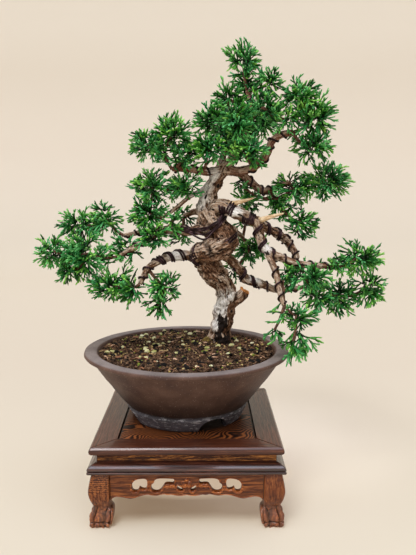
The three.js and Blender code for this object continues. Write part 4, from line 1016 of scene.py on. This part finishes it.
# For each wire: the limb, the shares of its length between which it is wound, turns and strands.
WINDINGS = {
    "wire_upper_left": [("upper_left", 0.12, 0.95, 5, 1)],
    "wire_far_left": [("far_left", 0.3, 0.95, 2.5, 1)],
    "wire_lower_left": [("lower_left", 0.14, 0.5, 2.4, 2), ("lower_left", 0.5, 0.97, 3, 1),
                        ("roll", 0.04, 0.14, 1.1, 2)],
    "wire_leader": [("leader", 0.2, 0.9, 4, 1)],
    "wire_crown_left": [("crown_left", 0.3, 0.95, 3, 1)],
    "wire_crown_right": [("crown_right", 0.25, 0.95, 4.5, 1)],
    "wire_middle_right": [("middle_right", 0.28, 0.95, 4, 1)],
    "wire_main_right": [("main_right", 0.09, 0.14, 1.1, 3), ("main_right", 0.235, 0.28, 1.1, 3),
                        ("burl", 0.06, 0.12, 1.1, 2)],
    "wire_far_right": [("main_right", 0.36, 0.58, 2.2, 2), ("main_right", 0.58, 0.97, 4.5, 1)],
    "wire_arched_right": [("arched_right", 0.1, 0.6, 2.6, 2), ("arched_right", 0.6, 0.96, 2, 1)],
    "wire_hanging_right": [("hanging_right", 0.25, 0.97, 3.5, 1)],
    "wire_lower_right": [("lower_right", 0.14, 0.5, 2.4, 2), ("lower_right", 0.5, 0.97, 3.5, 1)],
}
# Four strands cross the front of the neck from the upper left limb, on [x, y, z] in millimetres.
NECK_STRANDS = 4
NECK_RUN = [[-42, -6, 309], [-35, -8, 307], [-27, -9, 304], [-18, -9, 301], [-9, -10, 301], [0, -9, 304],
            [7, -7, 309], [12, -3, 315], [17, 4, 320], [19, 13, 323], [18, 24, 323]]


def anodised_aluminium(tree):
    """Aluminium under a dark brown anodised skin, a little uneven where it was bent by hand."""
    place = add(tree, "TexCoord", {}).outputs["Object"]
    handling = add(tree, "TexNoise", {"Vector": place, "Scale": once_in(5), "Detail": 4, "Roughness": 0.6})
    colour = add(tree, "ValToRGB", {"Fac": handling},
                 stops=((0.35, "#1D1213"), (0.55, "#3A2529"), (0.75, "#604449")))
    rough = add(tree, "MapRange", {"Value": handling, "To Min": 0.26, "To Max": 0.42})
    return add(tree, "BsdfPrincipled", {"Base Color": colour, "Metallic": 0.7, "Roughness": rough})


def relaxed(spots, rounds):
    """A line of points with its kinks drawn out."""
    spots = np.array(spots)
    for _ in range(rounds):
        spots[1:-1] = spots[1:-1] * 0.5 + (spots[:-2] + spots[2:]) * 0.25
    return spots


def laid_on_bark(middle, away, radius):
    """The spot where a wire rests on the bark, straight out from a limb's middle."""
    hit, _, _, distance = bark_surface.ray_cast(Vector(middle), Vector(away), radius * 1.5 + 2)
    reach = max(distance, radius * 0.8) if hit else radius
    return middle + away * (reach + WIRE["radius"] + 0.1)


def winding(limb, first, last, turns, start):
    """The line of a wire wound round a limb from the angle start, between two shares of its length."""
    line, radii = limb_line(limb, 12)
    _, across, upright = travelling_axes(line)
    steps = int(turns * WIRE["steps"])
    spots = []
    for k in range(steps + 1):
        walk = k / WIRE["steps"] * 2 * math.pi
        angle = start + walk + 0.3 * math.sin(walk * 0.73 + start)
        place = (first + (last - first) * k / steps) * (len(line) - 1)
        low = min(int(place), len(line) - 2)
        part = place - low
        middle, radius, flat, up = [values[low] * (1 - part) + values[low + 1] * part
                                    for values in (line, radii, across, upright)]
        away = flat * math.cos(angle) + up * math.sin(angle)
        spots.append(laid_on_bark(middle, away / np.linalg.norm(away), radius))
    return relaxed(spots, 4)


def drawn_to_bark(run):
    """A run of wire, moved until it just rests on the bark where it is near it."""
    spots = []
    for spot in run:
        surface, outward_way, _, distance = bark_surface.find_nearest(Vector(spot))
        if distance < 9:
            spot = np.array(surface + outward_way * (WIRE["radius"] + 0.15))
        spots.append(spot)
    return relaxed(spots, 6)


wire_finish = material_of("anodised aluminium wire", anodised_aluminium)
for name, runs in WINDINGS.items():
    lines = []
    for limb, first, last, turns, strands in runs:
        line, _ = limb_line(limb)
        length = walked_along(line)[-1]
        for strand in range(strands):
            shift = strand * WIRE["strand"] / length
            # A name's length is as good as any angle to start at, and differs between the wires.
            lines.append(winding(limb, first + shift, min(last + shift, 0.99), turns, len(name)))
    if name == "wire_upper_left":
        for strand in range(NECK_STRANDS):
            lift = (strand - (NECK_STRANDS - 1) / 2) * WIRE["strand"]
            lines.append(drawn_to_bark(smooth_line(np.array(NECK_RUN) + [0, 0, lift], 5)))
    strands = [tube(line, WIRE["radius"], WIRE["sides"]) for line in lines]
    wire = piece_of(f"wound_{name}", *joined(strands), wire_finish)
    fit(wire, "training_wire", name)

# ---- Foliage ------------------------------------------------------------------------------------
# Living juniper shoots, clothed in scale leaves: round cords about 1.4 mm thick that fork again and again in
# flat sprays. The tips are a fresh bright green, and older shoots are darker and bluer; the near black of the
# shoot bases deep in a pad is partly painted shade.

# Each pad grows from a share of a limb's length, in tufts of [x, y, z, half-width, half-height]. A
# sixth number is how full a tuft is, where that isn't 1.
PADS = {
    "foliage_apex": ("leader", 1, [[36, 11, 485, 21, 23], [63, 7, 465, 18, 16], [40, 24, 464, 16, 14]]),
    "foliage_crown_left": ("leader", 0.72, [[22, 15, 449, 19, 18], [2, 7, 424, 21, 21]]),
    "foliage_crown_front": ("leader", 0.45, [[30, -9, 418, 23, 24], [57, -3, 438, 20, 18],
                                             [84, -6, 424, 15, 15]]),
    "foliage_crown_low": ("crown_right", 0.3, [[37, -15, 389, 24, 16]]),
    "foliage_crown_inner": ("crown_left", 0.4, [[-3, -7, 394, 20, 18]]),
    "foliage_upper_left": ("crown_left", 1, [[-53, -5, 392, 18, 12], [-42, -9, 409, 23, 20],
                                             [-71, -5, 397, 21, 17], [-22, 6, 391, 18, 13],
                                             [-34, -6, 378, 16, 8, 0.7]]),
    "foliage_top_right": ("crown_right", 1, [[114, 1, 426, 24, 26], [97, -3, 449, 22, 20],
                                             [110, -1, 395, 23, 16]]),
    "foliage_right_mid": ("middle_right", 1, [[97, 27, 350, 24, 17], [135, 27, 359, 26, 22],
                                              [74, 29, 336, 13, 11], [35, 33, 353, 12, 11]]),
    "foliage_right_low": ("middle_right", 0.72, [[84, 34, 325, 15, 12, 0.8], [106, 28, 310, 21, 18, 0.8]]),
    "foliage_left_thin": ("thin_left", 1, [[-70, 7, 322, 24, 19], [-66, 7, 352, 22, 20],
                                           [-29, 13, 351, 19, 17, 1.1]]),
    "foliage_left_front": ("upper_left", 0.5, [[-64, -17, 296, 21, 14], [-40, -14, 316, 10, 8, 0.8]]),
    "foliage_far_left_top": ("far_left", 1, [[-122, 27, 314, 19, 18], [-152, 27, 306, 24, 20]]),
    "foliage_far_left": ("upper_left", 1, [[-137, -17, 277, 28, 23], [-96, -3, 281, 20, 15, 0.9],
                                           [-175, -19, 280, 20, 17], [-155, -17, 257, 18, 13]]),
    "foliage_low_left": ("lower_left", 1, [[-90, -21, 240, 19, 20], [-113, -21, 243, 22, 16]]),
    "foliage_hanging_left": ("lower_left", 0.7, [[-51, -19, 241, 19, 18], [-60, -21, 219, 15, 14, 0.8]]),
    "foliage_right_front": ("main_right", 0.78, [[104, -19, 254, 26, 18], [119, -19, 229, 17, 16, 0.9],
                                                 [84, -14, 256, 11, 12]]),
    "foliage_far_right_top": ("main_right", 1, [[166, -11, 273, 25, 18], [142, -15, 268, 15, 13]]),
    "foliage_far_right_low": ("lower_right", 1, [[146, 4, 226, 20, 20, 0.9], [181, -1, 236, 21, 21, 0.9],
                                                 [152, 2, 212, 13, 10, 0.6]]),
    "foliage_hanging_right": ("hanging_right", 1, [[93, -44, 212, 23, 15, 0.6], [68, -52, 198, 13, 11, 0.5],
                                                   [80, -22, 248, 7, 13, 0.4], [90, -58, 196, 27, 30, 0.2],
                                                   [86, -64, 184, 14, 16, 0.3]]),
    "foliage_back_right": ("back_branch", 1, [[48, 54, 276, 22, 18], [46, 54, 333, 18, 18, 0.8],
                                              [26, 50, 250, 12, 10, 0.6]]),
    "foliage_back_left": ("back_left", 1, [[-31, 44, 318, 17, 14, 0.6], [-34, 44, 292, 18, 12, 0.6]]),
    "foliage_back_crown": ("back_crown", 1, [[20, 50, 415, 26, 24], [58, 48, 430, 26, 24]]),
}
# Lengths in millimetres. Each spray of a full tuft covers skin_each square millimetres of its outside.
SHOOT = {"radius": 1.0, "every": 5.6, "fork": 6.8, "skin_each": 106}


def spray_of(draw, length):
    """A flat spray that grows along +y, as lists of shoots: starts, ends, radii and freshness, which also
    carries painted shade.
    """
    bend = draw.uniform(-0.12, 0.12)

    def on_stem(share):
        """The spot at a share of the bowed stem."""
        return np.array([bend * length * share ** 2, length * share, 0.12 * length * share ** 2])

    starts, ends, radii, fresh_and_shade = [], [], [], []

    def grow(start, end, radius, freshness):
        """Adds one straight shoot."""
        starts.append(start)
        ends.append(end)
        radii.append(radius)
        fresh_and_shade.append(freshness)

    def heading(lean):
        """A way that leans so far to the side of +y, and a little up or down."""
        return np.array([math.sin(lean), math.cos(lean), draw.uniform(-0.12, 0.28)])

    knots = [on_stem(share) for share in np.linspace(0, 1, 4)]
    for k in range(3):
        over = knots[k + 1] + (knots[k + 1] - knots[k]) * (0.2 if k < 2 else 0)
        grow(knots[k], over, SHOOT["radius"], 0.05 + 0.95 * (k + 1) / 3)
    side = draw.choice([-1, 1])
    share = 0.22
    while share < 0.74:
        start = on_stem(share)
        lean = side * draw.uniform(0.34, 0.6) + 2 * bend * share
        size = min(0.7 * length * (1 - share) + 6, 22) * draw.uniform(0.75, 1.2)
        tip = start + heading(lean) * size
        grow(start, tip, SHOOT["radius"] * 0.95, 0.5 + 0.5 * share)
        way = side
        for place in (0.3, 0.55) if size > 12 else (0.45,) if size > 8.5 else ():
            fork = start * (1 - place) + tip * place
            reach = SHOOT["fork"] * draw.uniform(0.75, 1.2)
            grow(fork, fork + heading(lean + way * draw.uniform(0.3, 0.5)) * reach, SHOOT["radius"] * 0.9,
                 0.6 + 0.4 * share)
            way = -way
        side = -side
        share += SHOOT["every"] / length * draw.uniform(0.8, 1.2)
    return np.array(starts), np.array(ends), np.array(radii), np.array(fresh_and_shade)


def shoots_mesh(starts, ends, radii):
    """A slim closed four-sided cord with a blunt tip for each shoot, all at once."""
    along = ends - starts
    length = np.linalg.norm(along, axis=1)[:, None]
    along = along / length
    helper = np.where(np.abs(along[:, 2:3]) < 0.8, [[0, 0, 1]], [[1, 0, 0]])
    across = np.cross(along, helper)
    across /= np.linalg.norm(across, axis=1)[:, None]
    upright = np.cross(along, across)
    rings = []
    for share, swell in ((0, 0.8), (0.8, 1)):
        for k in range(4):
            angle = (k + 0.5) * math.pi / 2
            rings.append(starts + along * length * share
                         + (across * math.cos(angle) + upright * math.sin(angle)) * radii[:, None] * swell)
    points = np.stack([*rings, ends], axis=1)
    pattern = [[0, 3, 2], [0, 2, 1]]
    for k in range(4):
        beside = (k + 1) % 4
        pattern += [[k, beside, beside + 4], [k, beside + 4, k + 4], [k + 4, beside + 4, 8]]
    faces = np.array(pattern)[None] + (np.arange(len(starts)) * points.shape[1])[:, None, None]
    return points.reshape(-1, 3), faces.reshape(-1, 3)


def juniper_scales(tree):
    """Living scale leaves, waxy and satin. Freshness gives the tips their bright green and the bases of the
    shoots deep in a pad a near black, partly their real older colour and partly painted shade of the pad's
    inside. Each shoot differs a little from the next. The leaf joints are 1 mm apart, and are drawn coarser,
    as a mottle of 1.6 mm, or they wouldn't show."""
    fresh_and_shade = add(tree, "Attribute", {}, attribute_name="fresh_and_shade").outputs["Fac"]
    tone = add(tree, "Attribute", {}, attribute_name="tone").outputs["Fac"]
    place = add(tree, "TexCoord", {}).outputs["Object"]
    scales = add(tree, "TexNoise", {"Vector": place, "Scale": once_in(1.6), "Detail": 2, "Roughness": 0.6})
    own = add(tree, "NewGeometry", {}).outputs["Random Per Island"]
    varied = add(tree, "Math", {0: own, 1: 0.25, 2: fresh_and_shade}, operation="MULTIPLY_ADD")
    mottled = add(tree, "Math", {0: scales, 1: 0.35, 2: varied}, operation="MULTIPLY_ADD")
    part = add(tree, "Math", {0: mottled, 1: 1.45}, operation="DIVIDE")
    # Painted shade: the near-black low end of these ramps darkens shoot bases deep in the pads.
    green = add(tree, "ValToRGB", {"Fac": part},
                stops=((0.18, "#040A02"), (0.38, "#0D2B05"), (0.58, "#409028"), (0.88, "#A4E062")))
    blue = add(tree, "ValToRGB", {"Fac": part},
               stops=((0.18, "#030803"), (0.38, "#09270D"), (0.58, "#298242"), (0.88, "#74D288")))
    colour = add(tree, "Mix", {"Factor": tone, "A": green, "B": blue}, data_type="RGBA")
    relief = add(tree, "Bump", {"Strength": 0.5, "Distance": 0.3 * MM, "Height": scales})
    return add(tree, "BsdfPrincipled", {
        "Base Color": colour, "Roughness": 0.42, "IOR": 1.45, "Specular IOR Level": 0.3, "Normal": relief})


def young_wood(tree):
    """The thin twigs inside a pad, with smooth brown bark."""
    place = add(tree, "TexCoord", {}).outputs["Object"]
    scars = add(tree, "TexNoise", {"Vector": place, "Scale": once_in(2), "Detail": 3})
    colour = add(tree, "ValToRGB", {"Fac": scars},
                 stops=((0.35, "#3A2318"), (0.6, "#6E4A35"), (0.8, "#8E6A50")))
    return add(tree, "BsdfPrincipled", {"Base Color": colour, "Roughness": 0.75, "IOR": 1.45})


def evenly_round(count, first):
    """Directions spread evenly over a ball."""
    k = np.arange(count) + 0.5
    height = 1 - 2 * k / count
    flat = np.sqrt(1 - height ** 2)
    turn = first + k * math.pi * (3 - math.sqrt(5))
    return np.column_stack([np.cos(turn) * flat, np.sin(turn) * flat, height])


def in_pot(points):
    """Which points are in the pot, or just over its rim."""
    off = np.hypot(points[..., 0] - POT_AT[0], points[..., 1] - POT_AT[1])
    return (points[..., 2] < POT_RIM + 2) & (off < POT_RADIUS + 3)


def placed(spray, spot, heading, roll):
    """A list of one spray, set at a spot so that it grows along a heading. The list is empty where the
    spray would meet the pot. Roll is any way across the heading, and turns the spray round it."""
    starts, ends, radii, fresh_and_shade = spray
    heading = heading / np.linalg.norm(heading)
    side_axis = np.cross(heading, roll)
    side_axis /= np.linalg.norm(side_axis)
    axes = np.stack([side_axis, heading, np.cross(side_axis, heading)])
    ends_at = ends @ axes + spot
    if in_pot(ends_at).any():
        return []
    return [(starts @ axes + spot, ends_at, radii, fresh_and_shade)]


def tuft_sprays(draw, centre, half, fullness, flow):
    """Sprays in fans from a few knots inside a tuft. Most reach to its edge or past it, and every
    fourth one is short and fills the middle. They lean along flow, the way their limb points, and in
    a sparse tuft they lean more."""
    size = np.mean([half[0] * half[1], half[0] * half[2], half[1] * half[2]])
    count = int(round(fullness * 4 * math.pi * size / SHOOT["skin_each"]))
    knots = centre + draw.normal(0, 0.22, (5, 3)) * half
    grown = []
    for k, direction in enumerate(evenly_round(count, draw.uniform(0, 6.3))):
        turned_to = direction + draw.normal(0, 0.2, 3) + flow * (0.3 if fullness > 0.5 else 1.2)
        reach = draw.uniform(0.4, 0.65) if k % 4 == 0 else draw.uniform(0.75, 1.25)
        tip = centre + turned_to / np.linalg.norm(turned_to) * half * reach
        knot = knots[np.argmin(np.linalg.norm(knots - centre * 0.5 - tip * 0.5, axis=1))]
        spot = knot + draw.normal(0, 1.8, 3)
        length = max(np.linalg.norm(tip - spot), 9)
        starts, ends, radii, fresh_and_shade = spray_of(draw, length)
        spray = (starts, ends, radii, fresh_and_shade * draw.uniform(0.55, 1.15))
        grown += placed(spray, spot, tip - spot, draw.normal(size=3))
    return grown


def twig_sprays(draw, bow, fullness):
    """Short sprays on the outer part of a twig, so that it isn't bare."""
    walked = walked_along(bow)
    grown = []
    place = max(walked[-1] * 0.25, 6)
    while place < walked[-1] - 4:
        spot = np.array([np.interp(place, walked, bow[:, k]) for k in range(3)])
        ahead = (bow[-1] - bow[0]) / np.linalg.norm(bow[-1] - bow[0])
        heading = ahead * 0.5 + draw.normal(0, 0.6, 3)
        grown += placed(spray_of(draw, draw.uniform(12, 19)), spot, heading, draw.normal(size=3))
        place += 3.4 / fullness ** 0.7
    return grown


leaf = material_of("juniper scale leaves", juniper_scales)
twig_bark = material_of("young juniper twigs", young_wood)

for number, (name, (limb, share, tufts)) in enumerate(PADS.items()):
    draw = np.random.default_rng(100 + number)
    line, _ = limb_line(limb, 20)
    joints = [line[int(round(share * (len(line) - 1)))]]
    twigs, grown = [], []
    for x, y, z, half_width, half_height, *fullness in tufts:
        centre = np.array([x, y, z], float)
        root = min(joints, key=lambda joint: np.linalg.norm(joint - centre))
        joints.append(centre)
        sag = np.array([0, 0, -0.1 * np.linalg.norm(centre - root)])
        bow = smooth_line([root, (root + centre) / 2 + sag, centre], 5)
        twigs.append(tube(bow, np.linspace(2, 1.3, len(bow)), 7))
        flow = (centre - line[0]) / np.linalg.norm(centre - line[0])
        half = np.array([half_width, half_width * 0.9, half_height])
        full = fullness[0] if fullness else 1
        grown += tuft_sprays(draw, centre, half, full, flow)
        grown += twig_sprays(draw, bow, full)
    tones = np.concatenate([np.full(len(spray[0]), draw.uniform(0, 1)) for spray in grown])
    starts, ends, radii, fresh_and_shade = [np.concatenate(parts) for parts in zip(*grown)]
    points, faces = shoots_mesh(starts, ends, radii)
    pad = piece_of(f"sprays_of_{name}", points, faces.tolist(), leaf)
    along_shoot = np.array([0.65] * 4 + [0.95] * 4 + [1.0])
    set_mark(pad, "fresh_and_shade", (fresh_and_shade[:, None] * along_shoot).ravel())
    set_mark(pad, "tone", np.repeat(tones, len(along_shoot)))
    twig_piece = piece_of(f"twigs_of_{name}", *joined(twigs), twig_bark)
    fit(pad, "juniper_foliage", name)
    fit(twig_piece, "bark")

# ---- Studio -------------------------------------------------------------------------------------
# The tree stands on a pale cream sweep of paper, lit by a large soft box from the upper left and by
# light from all round. The camera looks slightly down from the front.

# The paper's colours, from in front of the stand to high up the sweep.
PAPER = ((0.07, "#BDBAAD"), (0.11, "#B8B5A9"), (0.2, "#B3AFA4"), (0.44, "#AFACA1"), (0.54, "#AFADA4"),
         (0.69, "#BDBAB2"), (0.82, "#CBCBC5"))


def from_spot(tree, place, at, half_size):
    """How far each point of the floor is from a spot, counted in half sizes of the spot. Both are in
    millimetres along x and y."""
    shift = [-where / half for where, half in zip(at, half_size)]
    scale = [once_in(half) for half in half_size]
    spot = add(tree, "Mapping", {"Vector": place, "Location": (*shift, 0), "Scale": (*scale, 0)})
    return add(tree, "VectorMath", {0: spot}, operation="LENGTH").outputs["Value"]


def matt_paper(tree):
    """Matt paper that glows a little everywhere, as painted light that keeps its shadows light and warm: most
    under the back of the stand, and softly right of it. It is printed a touch darker where it curves up,
    which keeps it even."""
    place = add(tree, "TexCoord", {}).outputs["Object"]
    parts = add(tree, "SeparateXYZ", {"Vector": place})
    along = add(tree, "Math", {0: parts.outputs["Y"], 1: parts.outputs["Z"]}, operation="ADD")
    run = add(tree, "MapRange", {"Value": along, "From Min": -0.5, "From Max": 4.5})
    colour = add(tree, "ValToRGB", {"Fac": run}, stops=PAPER)
    # Painted light: the paper glows, more right of the stand and most under it, to lighten the shadows there.
    from_right = from_spot(tree, place, (85.1, 105.3), (230, 270))
    right = add(tree, "MapRange", {"Value": from_right, "From Min": 1, "From Max": 0},
                interpolation_type="SMOOTHSTEP")
    painted_floor_glow = add(tree, "Mix", {"Factor": right, "A": "#8A7055", "B": "#D8C6B6"}, data_type="RGBA")
    from_stand = from_spot(tree, place, (-26.4, 30.1), (120, 70))
    under_stand = add(tree, "MapRange", {"Value": from_stand, "From Min": 1.1, "From Max": 0.85})
    painted_glow = add(tree, "Mix", {"Factor": under_stand, "A": painted_floor_glow, "B": "#DAC2A7"}, data_type="RGBA")
    return add(tree, "BsdfPrincipled", {"Base Color": colour, "Roughness": 0.95, "Specular IOR Level": 0.1,
                                        "Emission Color": painted_glow, "Emission Strength": 0.75})


# The sweep's profile, as [y, z] in millimetres: flat under the tree, a quarter round, then upright.
sweep_profile = [[-4000, 0], [1600, 0]]
sweep_profile += [[1600 + 900 * math.sin(a), 900 - 900 * math.cos(a)]
                  for a in np.linspace(0.1, math.pi / 2, 14)]
sweep_profile += [[2500, 4000]]
sweep_points = [[x, y, z - 0.02] for y, z in sweep_profile for x in (-5000, 5000)]
sweep_faces = [[2 * k, 2 * k + 1, 2 * k + 3, 2 * k + 2] for k in range(len(sweep_profile) - 1)]
sweep = piece_of("paper_sweep", sweep_points, sweep_faces, material_of("matt cream paper", matt_paper))


def soft_light(name, azimuth, elevation, spread, strength, colour):
    """A large far soft box, as a wide sun. Azimuth is from the front towards the right, in degrees."""
    lamp = bpy.data.lights.new(name, "SUN")
    lamp.angle = math.radians(spread)
    lamp.energy = strength
    lamp.color = linear(colour)[:3]
    light = bpy.data.objects.new(name, lamp)
    a, e = math.radians(azimuth), math.radians(elevation)
    shines_from = Vector((math.sin(a) * math.cos(e), -math.cos(a) * math.cos(e), math.sin(e)))
    light.rotation_euler = shines_from.to_track_quat("Z", "Y").to_euler()
    bpy.context.scene.collection.objects.link(light)


soft_light("key soft box", -24, 57, 26, 1.9, "#FFFDFA")
soft_light("left soft box", -82, 28, 50, 0.6, "#FFFFFF")
soft_light("ceiling soft box", 0, 85, 44, 1.6, "#E8EEFF")
soft_light("low front light", 10, 13, 60, 0.55, "#FFF1E2")
world = bpy.data.worlds.new("studio light")
world.use_nodes = True
room = world.node_tree
way_up = add(room, "SeparateXYZ", {"Vector": add(room, "TexCoord", {}).outputs["Generated"]}).outputs["Z"]
walls = add(room, "MapRange", {"Value": way_up, "From Max": 0.5, "To Min": 0.42, "To Max": 0.15})
room.links.new(walls.outputs["Result"], room.nodes["Background"].inputs["Strength"])
room.nodes["Background"].inputs["Color"].default_value = linear("#FFFFFF")
bpy.context.scene.world = world
bpy.context.scene.view_settings.view_transform = "Standard"

PHOTO_HEIGHT_PX = 555
FOCAL_PX = 644.6
lens = bpy.data.cameras.new("camera")
lens.sensor_width = 36
lens.lens = FOCAL_PX / PHOTO_HEIGHT_PX * lens.sensor_width
lens.clip_end = 50
camera = bpy.data.objects.new("camera", lens)
camera.location = (-0.00792, -0.73367, 0.35208)
camera.rotation_euler = (math.radians(81.924), 0, math.radians(-0.353))
bpy.context.scene.collection.objects.link(camera)
bpy.context.scene.camera = camera
